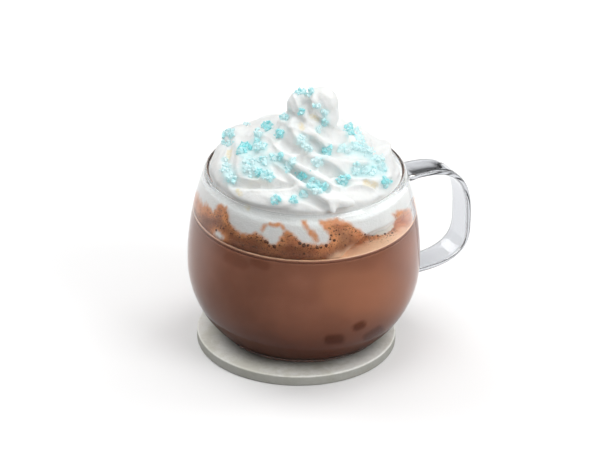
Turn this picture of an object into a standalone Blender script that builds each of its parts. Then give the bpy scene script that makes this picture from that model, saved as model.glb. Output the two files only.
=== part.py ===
"""Round glass mug of coffee with piped whipped cream and sugar crystals, on a stone coaster.

Metres, +Z up. The origin is on the mug's axis, at the underside of the coaster, and the
mug's handle points along +X. The pieces, from the bottom up, are the coaster, the glass mug
with its strap handle, the drink, the froth that floats on it, and the whipped cream with the
coarse sugar crystals that stick to it. Pieces that touch are kept one GAP apart.
"""

import bpy
import bmesh
import math
import random
from mathutils import Euler, Vector, noise
from mathutils.bvhtree import BVHTree

GAP = 0.0003                        # kept between pieces that touch
MERGE = 0.00001                     # points closer than this are one point

# Coaster: a round slab of stone, a little off the mug's axis.
COASTER_RADIUS = 0.0450
COASTER_THICKNESS = 0.0050
COASTER_EDGE = 0.0008               # rounding of its upper and lower edge
COASTER_CENTRE = (-0.0030, 0.0001)

# Glass mug: two half ellipses share the height where the mug is widest.
MUG_FOOT = COASTER_THICKNESS + GAP  # height of the mug's underside
MUG_HEIGHT = 0.0800
MUG_RADIUS = 0.0525                 # at the widest
WIDEST_HEIGHT = 0.0360              # above the mug's underside
LOWER_ELLIPSE = 0.0459              # vertical half axis below the widest place
UPPER_ELLIPSE = 0.0851              # vertical half axis above it
LOWER_POWER = 2.1                   # 2 is an ellipse, more is squarer
FOOT_RADIUS = 0.0290                # flat part of the underside
FOOT_ROUND = 0.0026                 # height of the round between underside and side
FOOT_FULLNESS = 0.0012              # how far that round swells past a straight chamfer
FOOT_FULLEST = 0.28                 # share of the round's height where it swells most
WALL = 0.0022
FLOOR_THICKNESS = 0.0045            # of glass under the drink
INNER_LOWER_ELLIPSE = 0.0432
FLOOR_RADIUS = 0.0320               # flat part of the inside
FLOOR_CORNER = 0.0012               # height of the slope between that floor and the side
INSIDE_ROWS = 10
OUTSIDE_ROWS = 12
LIP_ANGLES = (135, 90, 45)          # degrees round the lip, from its inner side
TURN_STEPS = 48                     # sides of every turned piece

# Handle: a flat strap of glass bent to a D.
STRAP_WIDTH = 0.0140
STRAP_THICKNESS = 0.0026
STRAP_EDGE = 0.0008
STRAP_CENTRE = (0.0521, 0.0365)     # distance from the axis, height above the mug's underside
STRAP_REACH = 0.0316                # from that centre out to the far side
STRAP_RISE = 0.0313                 # from that centre up to the upper arm
STRAP_DROP = 0.0202                 # from that centre down to the lower arm
STRAP_POWER = 3.0                   # 2 is an ellipse, more is squarer
STRAP_FLARE = 0.0012                # extra thickness where an arm meets the mug
STRAP_FLARE_LENGTH = 0.0060
STRAP_BITE = 0.0011                 # how far the ends go into the wall
STRAP_STEPS = 20

# Drink and froth, heights above the mug's underside.
FROTH_TOP = 0.0600
FROTH_THICKNESS = 0.0015
FROTH_EDGE = 0.0006                 # bevel of the froth's upper edge
DRINK_ROWS = 8

# Whipped cream: a low dome of three spiral tiers with slanting pleats and a curled peak.
# Directions on it are angles from SIDE, the direction at the right hand of someone who
# faces the mug with its handle to the right and a little behind.
SIDE = math.radians(-29.5)
PLEATS = 8
COLUMNS_PER_PLEAT = 7
PLEAT_DEPTH = 0.0026
PLEAT_TWIST = 1.0 / 0.0135          # radians of turn for a metre up the dome
TIER_PITCH = 0.0127                 # from one tier to the next, along the dome
TIER_DEPTH = 0.0034
TIER_START = 0.42                   # turns by which the lowest crease is moved round
FOLD_MIDDLE = 0.75                  # height of a fold, from crease to crest, that adds nothing
TIER_GROWTH = 0.004                 # the lowest tier grows to its full depth over this length
PEAK_FADE = 0.012                   # the folds die out over this length below the top
UNEVENNESS = 0.0016
UNEVEN_SCALE = 0.022
ROW_PITCH = 0.0021
DOME = ((0.0418, 0.0765), (0.0424, 0.0805), (0.0402, 0.0846), (0.0350, 0.0880),
        (0.0250, 0.0936), (0.0170, 0.0982), (0.0124, 0.1032), (0.0100, 0.1088),
        (0.0080, 0.1130), (0.0030, 0.1152))
DOME_STEPS = 12                     # steps of the curve between two of those points
SUMMIT_RISE = 0.0012                # of the middle point above the last one
LEAN = 0.0014                       # the heap is higher on the left, lower on the right
LEAN_GROWTH = 0.010
# The melting foot of the cream: direction in degrees and distance from the axis.
FOOT_OUTLINE = ((-180, 0.0430), (-165, 0.0375), (-142, 0.0375), (-128, 0.0330),
                (-112, 0.0370), (-100, 0.0305), (-80, 0.0345), (-58, 0.0300),
                (-38, 0.0385), (-20, 0.0420), (3, 0.0450), (25, 0.0400), (50, 0.0370),
                (75, 0.0415), (100, 0.0380), (130, 0.0420), (155, 0.0380))
FOOT_BULGE_HEIGHT = 0.0022          # thickness of the melted edge on the froth
FOOT_BULGE_REACH = 0.0040
FOOT_STEP = 0.0006                  # the side starts this much behind the melted edge
# Rows of the melted edge as shares of its reach and height, and of the side as shares of
# the way up to the dome.
FOOT_ROWS = ((-0.30, 0.0), (0.0, 0.15), (0.0, 0.75), (-0.12, 1.0))
SIDE_ROWS = (0.35, 0.65, 0.88)

# The curl on top: a round lobe that leans to the right, a smaller one beside it and a
# small one below. Each has a place (direction in degrees, distance from the axis, height),
# three half axes and a lean in degrees.
CURL_SEGMENTS = (14, 9)
CURL = (
    ("big", (8, 0.0070, 0.1106), (0.0078, 0.0074, 0.0100), 10),
    ("small", (200, 0.0042, 0.1118), (0.0050, 0.0052, 0.0068), -16),
    ("below", (-78, 0.0085, 0.1046), (0.0046, 0.0044, 0.0048), 20),
)

# Sugar crystals, largest first.
CRYSTALS = 66
CRYSTAL_LARGE = 0.0056
CRYSTAL_SMALL = 0.0032
CRYSTAL_WIDTH = (0.6, 0.9)          # least and most, as shares of the size
CRYSTAL_DEPTH = (0.5, 0.8)
CRYSTAL_CORNER = (0.82, 1.12)       # how far a corner moves in or out
CRYSTAL_RISE = 0.168                # share of its size by which its middle stands proud
CRYSTAL_TILT = 0.55
CRYSTAL_MARGIN = 1.2                # sizes kept clear between a crystal and the glass
CRYSTAL_WANDER = 0.35               # radians of sideways scatter
RAY_HEIGHT = 0.2                    # crystals are dropped on the cream from here
SUGAR_SEED = 11

PARTS = bpy.data.collections.new("irish_coffee")
CUTTERS = bpy.data.collections.new("cutters")


def clear_scene():
    for item in list(bpy.data.objects):
        bpy.data.objects.remove(item, do_unlink=True)
    for collection in (PARTS, CUTTERS):
        bpy.context.scene.collection.children.link(collection)


def material(name, colour, roughness, metallic=0.0, transmission=0.0):
    made = bpy.data.materials.new(name)
    made.use_nodes = True
    shader = made.node_tree.nodes["Principled BSDF"]
    shader.inputs["Base Color"].default_value = (*colour, 1.0)
    shader.inputs["Roughness"].default_value = roughness
    shader.inputs["Metallic"].default_value = metallic
    shader.inputs["Transmission Weight"].default_value = transmission
    made.diffuse_color = (*colour, 1.0)
    return made


def add_object(name, mesh, finish=None, collection=PARTS):
    made = bpy.data.objects.new(name, mesh)
    collection.objects.link(made)
    if finish is not None:
        made.data.materials.append(finish)
    return made


def from_bmesh(name, shape, finish=None, collection=PARTS):
    mesh = bpy.data.meshes.new(name)
    shape.to_mesh(mesh)
    shape.free()
    return add_object(name, mesh, finish, collection)


def bake(item):
    """Apply an object's modifiers and place, and weld what they left loose."""
    bpy.context.view_layer.update()
    evaluated = item.evaluated_get(bpy.context.evaluated_depsgraph_get())
    mesh = bpy.data.meshes.new_from_object(evaluated)
    mesh.transform(item.matrix_world)
    shape = bmesh.new()
    shape.from_mesh(mesh)
    bmesh.ops.remove_doubles(shape, verts=shape.verts, dist=MERGE)
    bmesh.ops.recalc_face_normals(shape, faces=shape.faces)
    shape.to_mesh(mesh)
    shape.free()
    finish = item.material_slots[0].material if item.material_slots else None
    name = item.name
    home = item.users_collection[0]
    bpy.data.objects.remove(item, do_unlink=True)
    made = add_object(name, mesh, None, home)
    if finish is not None and not mesh.materials:
        mesh.materials.append(finish)
    return made


def join(item, others):
    """Join pieces of one material into one solid with a Boolean union."""
    helpers = bpy.data.collections.new(item.name + "_pieces")
    CUTTERS.children.link(helpers)
    for other in others:
        for home in list(other.users_collection):
            home.objects.unlink(other)
        helpers.objects.link(other)
    union = item.modifiers.new("join", "BOOLEAN")
    union.operation = "UNION"
    union.operand_type = "COLLECTION"
    union.collection = helpers
    union.solver = "MANIFOLD"
    joined = bake(item)
    for other in list(helpers.objects):
        bpy.data.objects.remove(other, do_unlink=True)
    bpy.data.collections.remove(helpers)
    return joined


def turned(name, profile, finish):
    """A solid of revolution from (radius, height) points that run down its outer side."""
    mesh = bpy.data.meshes.new(name)
    points = [(radius, 0.0, height) for radius, height in profile]
    edges = [(index, index + 1) for index in range(len(points) - 1)]
    mesh.from_pydata(points, edges, [])
    item = add_object(name, mesh, finish)
    screw = item.modifiers.new("turn", "SCREW")
    screw.axis = "Z"
    screw.steps = TURN_STEPS
    screw.render_steps = TURN_STEPS
    screw.use_merge_vertices = True
    screw.merge_threshold = MERGE
    screw.use_smooth_shade = True
    return item


def between(low, high, count):
    return [low + (high - low) * index / (count - 1) for index in range(count)]


def ellipse_radius(height, radius, lower, power):
    """Radius of the mug's side, outside or inside, at a height above its underside."""
    if height >= WIDEST_HEIGHT:
        share = (height - WIDEST_HEIGHT) / UPPER_ELLIPSE
        return radius * math.sqrt(1.0 - share * share)
    share = (WIDEST_HEIGHT - height) / lower
    return radius * (1.0 - share ** power) ** (1.0 / power)


def outer_radius(height):
    return ellipse_radius(height, MUG_RADIUS, LOWER_ELLIPSE, LOWER_POWER)


def inner_radius(height):
    return ellipse_radius(height, MUG_RADIUS - WALL, INNER_LOWER_ELLIPSE, LOWER_POWER)


def mug_body(finish):
    inside = [(0.0, FLOOR_THICKNESS), (FLOOR_RADIUS, FLOOR_THICKNESS)]
    neck = MUG_HEIGHT - WALL / 2
    for height in between(FLOOR_THICKNESS + FLOOR_CORNER, neck, INSIDE_ROWS):
        inside.append((inner_radius(height), height))
    lip_inner = inner_radius(MUG_HEIGHT)
    lip_outer = outer_radius(MUG_HEIGHT)
    middle = (lip_inner + lip_outer) / 2
    size = (lip_outer - lip_inner) / 2
    lip = []
    for angle in LIP_ANGLES:
        turn = math.radians(angle)
        drop = size * (1 - math.sin(turn))
        lip.append((middle + size * math.cos(turn), MUG_HEIGHT - drop))
    outside = [(outer_radius(height), height)
               for height in between(neck, FOOT_ROUND, OUTSIDE_ROWS)]
    fullest = (outer_radius(FOOT_ROUND) + FOOT_RADIUS) / 2 + FOOT_FULLNESS
    foot = [(fullest, FOOT_ROUND * FOOT_FULLEST), (FOOT_RADIUS, 0.0), (0.0, 0.0)]
    body = turned("glass_mug", inside + lip + outside + foot, finish)
    body.location.z = MUG_FOOT
    return bake(body)


def strap_point(turn, inset):
    """Point of the D at an angle from the far side, moved in by a distance."""
    across = math.cos(turn)
    upward = math.sin(turn)
    high = STRAP_RISE if upward > 0 else STRAP_DROP
    power = 2.0 / STRAP_POWER
    x = STRAP_CENTRE[0] + (STRAP_REACH - inset) * math.copysign(abs(across) ** power, across)
    z = STRAP_CENTRE[1] + (high - inset) * math.copysign(abs(upward) ** power, upward)
    return x, z


def strap_side(inset_at_far, inset_at_mug):
    """One side of the strap, from the upper arm's root round to the lower arm's root."""
    side = []
    for turn in between(math.pi / 2, -math.pi / 2, STRAP_STEPS + 1):
        x, z = strap_point(turn, 0.0)
        flare = max(0.0, 1.0 - (x - MUG_RADIUS) / STRAP_FLARE_LENGTH)
        inset = inset_at_far + (inset_at_mug - inset_at_far) * min(1.0, flare) ** 2
        side.append(strap_point(turn, inset))
    ends = []
    for x, z in (side[0], side[-1]):
        ends.append((outer_radius(z) - STRAP_BITE, z))
    return [ends[0]] + side + [ends[1]]


def strap(finish):
    depth = STRAP_THICKNESS - STRAP_EDGE
    outside = strap_side(STRAP_EDGE, STRAP_EDGE - STRAP_FLARE)
    inside = strap_side(depth, depth + STRAP_FLARE)
    outline = outside + inside[::-1]
    curve = bpy.data.curves.new("strap", "CURVE")
    curve.dimensions = "2D"
    curve.fill_mode = "BOTH"
    curve.extrude = STRAP_WIDTH / 2 - STRAP_EDGE
    curve.bevel_depth = STRAP_EDGE
    curve.bevel_resolution = 1
    spline = curve.splines.new("POLY")
    spline.points.add(len(outline) - 1)
    for point, (x, z) in zip(spline.points, outline):
        point.co = (x, z, 0.0, 1.0)
    spline.use_cyclic_u = True
    item = add_object("strap", curve, finish)
    item.rotation_euler.x = math.pi / 2
    item.location.z = MUG_FOOT
    return bake(item)


def glass_mug():
    finish = material("clear glass", (0.93, 0.95, 0.95), 0.02, transmission=1.0)
    return join(mug_body(finish), [strap(finish)])


def coaster():
    finish = material("pale stone", (0.50, 0.49, 0.44), 0.75)
    radius = COASTER_RADIUS
    edge = COASTER_EDGE
    profile = [(0.0, COASTER_THICKNESS)]
    for angle in (90, 45, 0):
        turn = math.radians(angle)
        profile.append((radius - edge + edge * math.cos(turn),
                        COASTER_THICKNESS - edge + edge * math.sin(turn)))
    for angle in (0, -45, -90):
        turn = math.radians(angle)
        profile.append((radius - edge + edge * math.cos(turn), edge + edge * math.sin(turn)))
    profile.append((0.0, 0.0))
    item = turned("coaster", profile, finish)
    item.location = (*COASTER_CENTRE, 0.0)
    return bake(item)


def coffee():
    finish = material("milky coffee", (0.16, 0.065, 0.035), 0.25)
    top = FROTH_TOP - FROTH_THICKNESS - GAP
    bottom = FLOOR_THICKNESS + GAP
    profile = [(0.0, top)]
    for height in between(top, bottom + FLOOR_CORNER, DRINK_ROWS):
        profile.append((inner_radius(height) - GAP, height))
    profile += [(FLOOR_RADIUS - GAP, bottom), (0.0, bottom)]
    item = turned("coffee", profile, finish)
    item.location.z = MUG_FOOT
    return bake(item)


def froth():
    finish = material("coffee froth", (0.42, 0.20, 0.10), 0.5)
    bottom = FROTH_TOP - FROTH_THICKNESS
    shoulder = FROTH_TOP - FROTH_EDGE
    profile = [(0.0, FROTH_TOP), (inner_radius(FROTH_TOP) - GAP - FROTH_EDGE, FROTH_TOP),
               (inner_radius(shoulder) - GAP, shoulder),
               (inner_radius(bottom) - GAP, bottom), (0.0, bottom)]
    item = turned("froth", profile, finish)
    item.location.z = MUG_FOOT
    return bake(item)


def ease(share):
    share = min(1.0, max(0.0, share))
    return share * share * (3.0 - 2.0 * share)


def foot_radius(turn):
    """Distance from the axis to the cream's melted foot, in a direction from SIDE."""
    degrees = (math.degrees(turn) + 180.0) % 360.0 - 180.0
    outline = list(FOOT_OUTLINE) + [(FOOT_OUTLINE[0][0] + 360, FOOT_OUTLINE[0][1])]
    for (start, low), (end, high) in zip(outline, outline[1:]):
        if start <= degrees <= end:
            return low + (high - low) * ease((degrees - start) / (end - start))
    return outline[0][1]


def lobe(phase):
    """1 on the crest of a fold and 0 in the crease, round on top and sharp between."""
    across = 2.0 * (phase - math.floor(phase)) - 1.0
    return math.sqrt(max(0.0, 1.0 - across * across))


def dome_points():
    """The dome's profile, evenly spaced, with the distance along it and its outward normal."""
    dense = []
    for index in range(len(DOME) - 1):
        before = Vector(DOME[max(0, index - 1)])
        start = Vector(DOME[index])
        end = Vector(DOME[index + 1])
        after = Vector(DOME[min(len(DOME) - 1, index + 2)])
        for share in between(0.0, 1.0, DOME_STEPS + 1)[:-1]:
            bend = share * share * (3 - 2 * share)
            push = (end - before) / 2 * (share ** 3 - 2 * share ** 2 + share)
            pull = (after - start) / 2 * (share ** 3 - share ** 2)
            dense.append(start * (1 - bend) + end * bend + push + pull)
    dense.append(Vector(DOME[-1]))
    points = []
    travelled = 0.0
    wanted = 0.0
    for start, end in zip(dense, dense[1:]):
        step = (end - start).length
        while wanted <= travelled + step:
            along = (end - start) / step
            outward = Vector((along.y, -along.x))
            points.append((start + along * (wanted - travelled), wanted, outward))
            wanted += ROW_PITCH
        travelled += step
    return points, travelled


def foot_place(turn, share, lift):
    """Radius and height of a row of the melted edge, in a direction."""
    height = FROTH_TOP + GAP + lift * FOOT_BULGE_HEIGHT
    return foot_radius(turn) + share * FOOT_BULGE_REACH, height


def side_place(turn, share, neck, pleat):
    """Radius and height of a row between the melted edge and the dome."""
    low = foot_radius(turn) - FOOT_STEP
    base = FROTH_TOP + GAP + FOOT_BULGE_HEIGHT
    radius = low + (neck.x - low) * ease(share) + pleat * PLEAT_DEPTH * share
    return radius, base + (neck.y - base) * share


def dome_place(turn, row, length, pleat):
    """Radius and height of a row of the dome, pushed out by its pleats and tiers."""
    point, travelled, outward = row
    phase = travelled / TIER_PITCH + turn / (2 * math.pi) + TIER_START
    tier = (lobe(phase) - FOLD_MIDDLE) * ease(travelled / TIER_GROWTH)
    fade = ease((length - travelled) / PEAK_FADE)
    around = Vector((math.cos(turn) * point.x, math.sin(turn) * point.x, point.y))
    uneven = noise.noise(around / UNEVEN_SCALE) * UNEVENNESS
    push = (tier * TIER_DEPTH + pleat * PLEAT_DEPTH + uneven) * fade
    height = point.y + outward.y * push
    height -= LEAN * math.cos(turn) * ease(travelled / LEAN_GROWTH) * fade
    return point.x + outward.x * push, height


def add_ring(shape, places):
    """A ring of corners round the axis, kept clear of the glass."""
    ring = []
    for radius, height, turn in places:
        if height < MUG_HEIGHT + WALL:
            radius = min(radius, inner_radius(min(height, MUG_HEIGHT)) - 2 * GAP)
        place = (radius * math.cos(turn + SIDE), radius * math.sin(turn + SIDE), height)
        ring.append(shape.verts.new(place))
    return ring


def cream_swirl(finish):
    """The cream as one closed skin: rows from its foot to the top, columns along the pleats."""
    points, length = dome_points()
    columns = PLEATS * COLUMNS_PER_PLEAT
    turns = [2 * math.pi * column / columns for column in range(columns)]
    pleats = [lobe(column / COLUMNS_PER_PLEAT) - FOLD_MIDDLE for column in range(columns)]
    shape = bmesh.new()
    rings = []
    for share, lift in FOOT_ROWS:
        rings.append(add_ring(shape, [(*foot_place(turn, share, lift), turn)
                                      for turn in turns]))
    for share in SIDE_ROWS:
        rings.append(add_ring(shape, [(*side_place(turn, share, points[0][0], pleat), turn)
                                      for turn, pleat in zip(turns, pleats)]))
    for row in points:
        twisted = [turn - row[1] * PLEAT_TWIST for turn in turns]
        rings.append(add_ring(shape, [(*dome_place(turn, row, length, pleat), turn)
                                      for turn, pleat in zip(twisted, pleats)]))
    foot_centre = shape.verts.new((0.0, 0.0, FROTH_TOP + GAP))
    summit = shape.verts.new((0.0, 0.0, DOME[-1][1] + SUMMIT_RISE))
    for lower, upper in zip(rings, rings[1:]):
        for column in range(columns):
            after = (column + 1) % columns
            shape.faces.new((lower[column], lower[after], upper[after], upper[column]))
    for column in range(columns):
        after = (column + 1) % columns
        shape.faces.new((foot_centre, rings[0][after], rings[0][column]))
        shape.faces.new((summit, rings[-1][column], rings[-1][after]))
    item = from_bmesh("whipped_cream", shape, finish)
    item.location.z = MUG_FOOT
    item.data.shade_smooth()
    return bake(item)


def curl_pieces(finish):
    pieces = []
    across, down = CURL_SEGMENTS
    for name, (degrees, distance, height), size, lean in CURL:
        shape = bmesh.new()
        bmesh.ops.create_uvsphere(shape, u_segments=across, v_segments=down, radius=1.0)
        item = from_bmesh("curl_" + name, shape, finish, CUTTERS)
        turn = math.radians(degrees) + SIDE
        item.location = (distance * math.cos(turn), distance * math.sin(turn), height + MUG_FOOT)
        item.scale = size
        item.rotation_euler = Euler((0.0, math.radians(lean), SIDE), "XYZ")
        pieces.append(bake(item))
    return pieces


def crystal_sites(cream):
    """Even places on the cream's upper side, with the outward normal at each."""
    shape = bmesh.new()
    shape.from_mesh(cream.data)
    tree = BVHTree.FromBMesh(shape)
    shape.free()
    draw = random.Random(SUGAR_SEED)
    golden = math.pi * (3.0 - math.sqrt(5.0))
    reach = inner_radius(MUG_HEIGHT) - CRYSTAL_LARGE * CRYSTAL_MARGIN
    sites = []
    for index in range(CRYSTALS):
        distance = reach * math.sqrt((index + 0.5) / CRYSTALS)
        turn = index * golden + draw.uniform(-CRYSTAL_WANDER, CRYSTAL_WANDER)
        above = Vector((distance * math.cos(turn), distance * math.sin(turn), RAY_HEIGHT))
        place, normal, _, _ = tree.ray_cast(above, Vector((0.0, 0.0, -1.0)))
        sites.append((place, normal))
    draw.shuffle(sites)
    return sites, draw


def crystal_pieces(cream, finish):
    sites, draw = crystal_sites(cream)
    pieces = []
    for index, (place, normal) in enumerate(sites):
        size = CRYSTAL_LARGE + (CRYSTAL_SMALL - CRYSTAL_LARGE) * index / len(sites)
        shape = bmesh.new()
        bmesh.ops.create_icosphere(shape, subdivisions=1, radius=0.5)
        for corner in shape.verts:
            corner.co *= draw.uniform(*CRYSTAL_CORNER)
        item = from_bmesh("crystal_%03d" % index, shape, finish, CUTTERS)
        width = size * draw.uniform(*CRYSTAL_WIDTH)
        item.scale = (size, width, size * draw.uniform(*CRYSTAL_DEPTH))
        upright = normal.to_track_quat("Z", "Y").to_euler()
        tilt = Euler([draw.uniform(-CRYSTAL_TILT, CRYSTAL_TILT) for _ in range(2)]
                     + [draw.uniform(0.0, 2 * math.pi)])
        turned_by = upright.to_matrix() @ tilt.to_matrix()
        item.rotation_euler = turned_by.to_euler()
        item.location = place + normal * size * CRYSTAL_RISE
        pieces.append(bake(item))
    return pieces


def whipped_cream():
    finish = material("whipped cream", (0.90, 0.90, 0.88), 0.55)
    cream = join(cream_swirl(finish), curl_pieces(finish))
    return join(cream, crystal_pieces(cream, finish))


def build():
    clear_scene()
    coaster()
    glass_mug()
    coffee()
    froth()
    whipped_cream()


build()
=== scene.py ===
"""A round glass mug of milky coffee with froth, piped whipped cream and blue sugar crystals.

The mug stands on a round stone coaster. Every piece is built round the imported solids, in
metres, +Z up, with the mug's axis on the Z axis and its handle along +X.
"""

import math
import random

import bmesh
import bpy
import numpy as np
from bpy.props import FloatProperty, FloatVectorProperty, IntProperty, PointerProperty
from mathutils import Matrix, Vector, noise
from mathutils.bvhtree import BVHTree


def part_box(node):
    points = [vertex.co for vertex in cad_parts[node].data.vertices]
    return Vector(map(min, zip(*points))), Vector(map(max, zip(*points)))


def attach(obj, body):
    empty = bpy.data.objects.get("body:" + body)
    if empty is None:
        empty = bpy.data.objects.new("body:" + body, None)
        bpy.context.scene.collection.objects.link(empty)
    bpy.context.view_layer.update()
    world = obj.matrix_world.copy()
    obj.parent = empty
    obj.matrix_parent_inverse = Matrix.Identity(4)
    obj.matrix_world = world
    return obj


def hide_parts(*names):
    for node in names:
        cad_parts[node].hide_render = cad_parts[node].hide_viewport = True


bl_info = {
    "name": "Coffee in a Glass Mug",
    "version": (1, 0, 0),
    "blender": (4, 5, 0),
    "location": "View3D > Sidebar > Coffee",
    "description": "Builds a glass mug of coffee with whipped cream and sugar on a coaster",
    "category": "Object",
}

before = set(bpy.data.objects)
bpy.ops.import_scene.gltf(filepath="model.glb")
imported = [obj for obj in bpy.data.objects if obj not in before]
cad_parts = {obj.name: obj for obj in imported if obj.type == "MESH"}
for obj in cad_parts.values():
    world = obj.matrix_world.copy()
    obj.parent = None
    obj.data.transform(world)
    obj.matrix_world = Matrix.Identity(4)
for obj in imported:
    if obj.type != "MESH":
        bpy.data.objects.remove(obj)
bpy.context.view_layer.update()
MM = 0.001

MUG_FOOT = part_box("glass_mug")[0].z
COASTER_LOW, COASTER_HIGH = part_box("coaster")

# The solids' driving sizes, heights above the mug's underside. The mug's side is an ellipse
# above its widest height and a superellipse below it.
WIDEST_HEIGHT = 36.0 * MM
UPPER_ELLIPSE = 85.1 * MM           # half height of the ellipse, outside and inside
LOWER_ELLIPSE = 45.9 * MM           # half height of the superellipse, outside
INNER_LOWER_ELLIPSE = 43.2 * MM     # the same inside
LOWER_POWER = 2.1
FLOOR_THICKNESS = 4.5 * MM
FOOT_ROUND = 2.6 * MM               # height of the rounding round the foot
FOOT_RADIUS = 29.0 * MM             # of the flat foot within that rounding
SKIN = 0.06 * MM                    # how far the drink reaches into the glass
SIDE = math.radians(-29.5)          # the right hand of someone who faces the mug

# The view: the handle to the right and a little behind. Marks, folds, crystals and bubbles
# of the near side are placed where they are seen, in the camera's pixels.
VIEW_ELEVATION = math.radians(28.24)
VIEW_DISTANCE = 2.4386
VIEW_ROLL = math.radians(1.19)
LENS = 316.9                        # millimetres, as Blender has it
SENSOR = 36.0
VIEW_WIDTH, VIEW_HEIGHT = 615, 461
AXIS_PIXEL = (303.87, 247.64)       # where the middle of the mug's axis is seen
MUG_MIDDLE = 40.05 * MM
PIXEL_SIZE = 0.45                   # mm that a pixel covers at the mug


# ---------------------------------------------------------------- sizes and colours

class MugSettings(bpy.types.PropertyGroup):
    """Sizes and look of the glass mug."""
    height: FloatProperty(
        name="Height", description="Height of the mug", default=0.080, unit="LENGTH")
    radius: FloatProperty(
        name="Radius", description="Radius where the mug is widest", default=0.0525,
        unit="LENGTH")
    wall: FloatProperty(
        name="Wall", description="Thickness of the glass", default=0.0022, unit="LENGTH")
    strap_width: FloatProperty(
        name="Handle Width", description="Width of the handle's strap", default=0.0140,
        unit="LENGTH")
    strap_thickness: FloatProperty(
        name="Handle Thickness", description="Thickness of the handle's strap",
        default=0.0026, unit="LENGTH")
    tint: FloatVectorProperty(
        name="Tint", description="Colour of the glass", subtype="COLOR",
        default=(0.97, 0.98, 0.98), min=0.0, max=1.0)


class DrinkSettings(bpy.types.PropertyGroup):
    """Level and colours of the drink and its froth."""
    level: FloatProperty(
        name="Level", description="Height of the froth above the mug's underside",
        default=0.060, unit="LENGTH")
    froth_thickness: FloatProperty(
        name="Froth", description="Thickness of the froth", default=0.0015, unit="LENGTH")
    coffee_colour: FloatVectorProperty(
        name="Coffee", description="Colour of the drink", subtype="COLOR",
        default=(0.34, 0.135, 0.078), min=0.0, max=1.0)
    froth_dark: FloatVectorProperty(
        name="Froth Dark", description="Darker colour of the froth", subtype="COLOR",
        default=(0.52, 0.150, 0.045), min=0.0, max=1.0)
    froth_light: FloatVectorProperty(
        name="Froth Light", description="Lighter colour of the froth", subtype="COLOR",
        default=(0.95, 0.43, 0.17), min=0.0, max=1.0)
    # The paler froth at the glass, and the tan of the painted light at the right
    froth_rim_and_painted_light: FloatVectorProperty(
        name="Froth Rim", description="Colour of the froth at the glass", subtype="COLOR",
        default=(0.93, 0.61, 0.40), min=0.0, max=1.0)
    bubbles: IntProperty(
        name="Bubble Seed", description="Seed of the small bubbles on the froth", default=3,
        min=0)


class CreamSettings(bpy.types.PropertyGroup):
    """Shape and colour of the whipped cream."""
    pleats: IntProperty(
        name="Pleats", description="Number of slanting pleats", default=8, min=3, max=20)
    pleat_depth: FloatProperty(
        name="Pleat Depth", description="Depth of a pleat", default=0.0026, unit="LENGTH")
    tier_depth: FloatProperty(
        name="Tier Depth", description="Depth of the crease between two tiers",
        default=0.0034, unit="LENGTH")
    colour: FloatVectorProperty(
        name="Cream", description="Colour of the cream", subtype="COLOR",
        default=(0.82, 0.83, 0.82), min=0.0, max=1.0)


class SugarSettings(bpy.types.PropertyGroup):
    """Size and colour of the sugar crystals."""
    size: FloatProperty(
        name="Crystal Size", description="Size of a large crystal", default=0.0026,
        unit="LENGTH")
    seed: IntProperty(name="Seed", description="Seed of the scatter", default=5)
    colour: FloatVectorProperty(
        name="Sugar", description="Colour of the crystals", subtype="COLOR",
        default=(0.60, 0.81, 0.825), min=0.0, max=1.0)


class CoasterSettings(bpy.types.PropertyGroup):
    """Look of the stone coaster."""
    edge: FloatProperty(
        name="Edge", description="Rounding of the coaster's edge", default=0.0008,
        unit="LENGTH")
    pale: FloatVectorProperty(
        name="Pale Stone", description="Lighter colour of the stone", subtype="COLOR",
        default=(1.0, 1.0, 0.95), min=0.0, max=1.0)
    dark: FloatVectorProperty(
        name="Dark Stone", description="Darker colour of the stone", subtype="COLOR",
        default=(0.83, 0.82, 0.73), min=0.0, max=1.0)
    # Painted shadow: the colour that the stone is painted round the mug's foot and as glass
    # mirrors it
    painted_shadow: FloatVectorProperty(
        name="Damp Stone", description="Colour of the stone round the mug's foot",
        subtype="COLOR", default=(0.045, 0.030, 0.020), min=0.0, max=1.0)


class StageSettings(bpy.types.PropertyGroup):
    """Floor and lights."""
    floor_radius: FloatProperty(
        name="Floor Radius", description="Radius of the floor", default=2.5, unit="LENGTH")
    floor_colour: FloatVectorProperty(
        name="Floor", description="Colour of the floor", subtype="COLOR",
        default=(0.93, 0.93, 0.93), min=0.0, max=1.0)
    floor_through: FloatVectorProperty(
        name="Floor Through Glass", description="Colour of the floor seen through glass",
        subtype="COLOR", default=(0.66, 0.67, 0.70), min=0.0, max=1.0)
    floor_mirror: FloatProperty(
        name="Floor Mirror", description="How much darker the floor is in the glass",
        default=0.8, min=0.0, max=1.0)
    light: FloatProperty(
        name="Light", description="Brightness of all the softboxes", default=1.0, min=0.0)
    sky_top: FloatProperty(
        name="Sky Top", description="Strength of the light from above", default=0.62)
    sky_back: FloatProperty(
        name="Sky Back", description="Strength of the light low behind the mug", default=0.05)
    sky_low: FloatProperty(
        name="Sky Low", description="Strength of the light near the horizon", default=0.42)


# ---------------------------------------------------------------- node trees

MIX_SHARE, MIX_FIRST, MIX_SECOND, MIX_RESULT = 0, 6, 7, 2   # a Mix node's colour sockets


def math_operator(operation, swapped=False):
    """An operator that adds a Math node; swapped where the wire stands second."""
    def method(wire, other):
        values = (other, wire) if swapped else (wire, other)
        return wire.owner.node("ShaderNodeMath", {"operation": operation}, *values)
    return method


class Wire:
    """An output socket of a node; arithmetic on it adds Math nodes to its tree."""

    def __init__(self, owner, socket):
        self.owner = owner
        self.socket = socket

    __add__, __radd__ = math_operator("ADD"), math_operator("ADD", True)
    __sub__, __rsub__ = math_operator("SUBTRACT"), math_operator("SUBTRACT", True)
    __mul__, __rmul__ = math_operator("MULTIPLY"), math_operator("MULTIPLY", True)
    __truediv__, __rtruediv__ = math_operator("DIVIDE"), math_operator("DIVIDE", True)
    __pow__, __rpow__ = math_operator("POWER"), math_operator("POWER", True)


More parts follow.
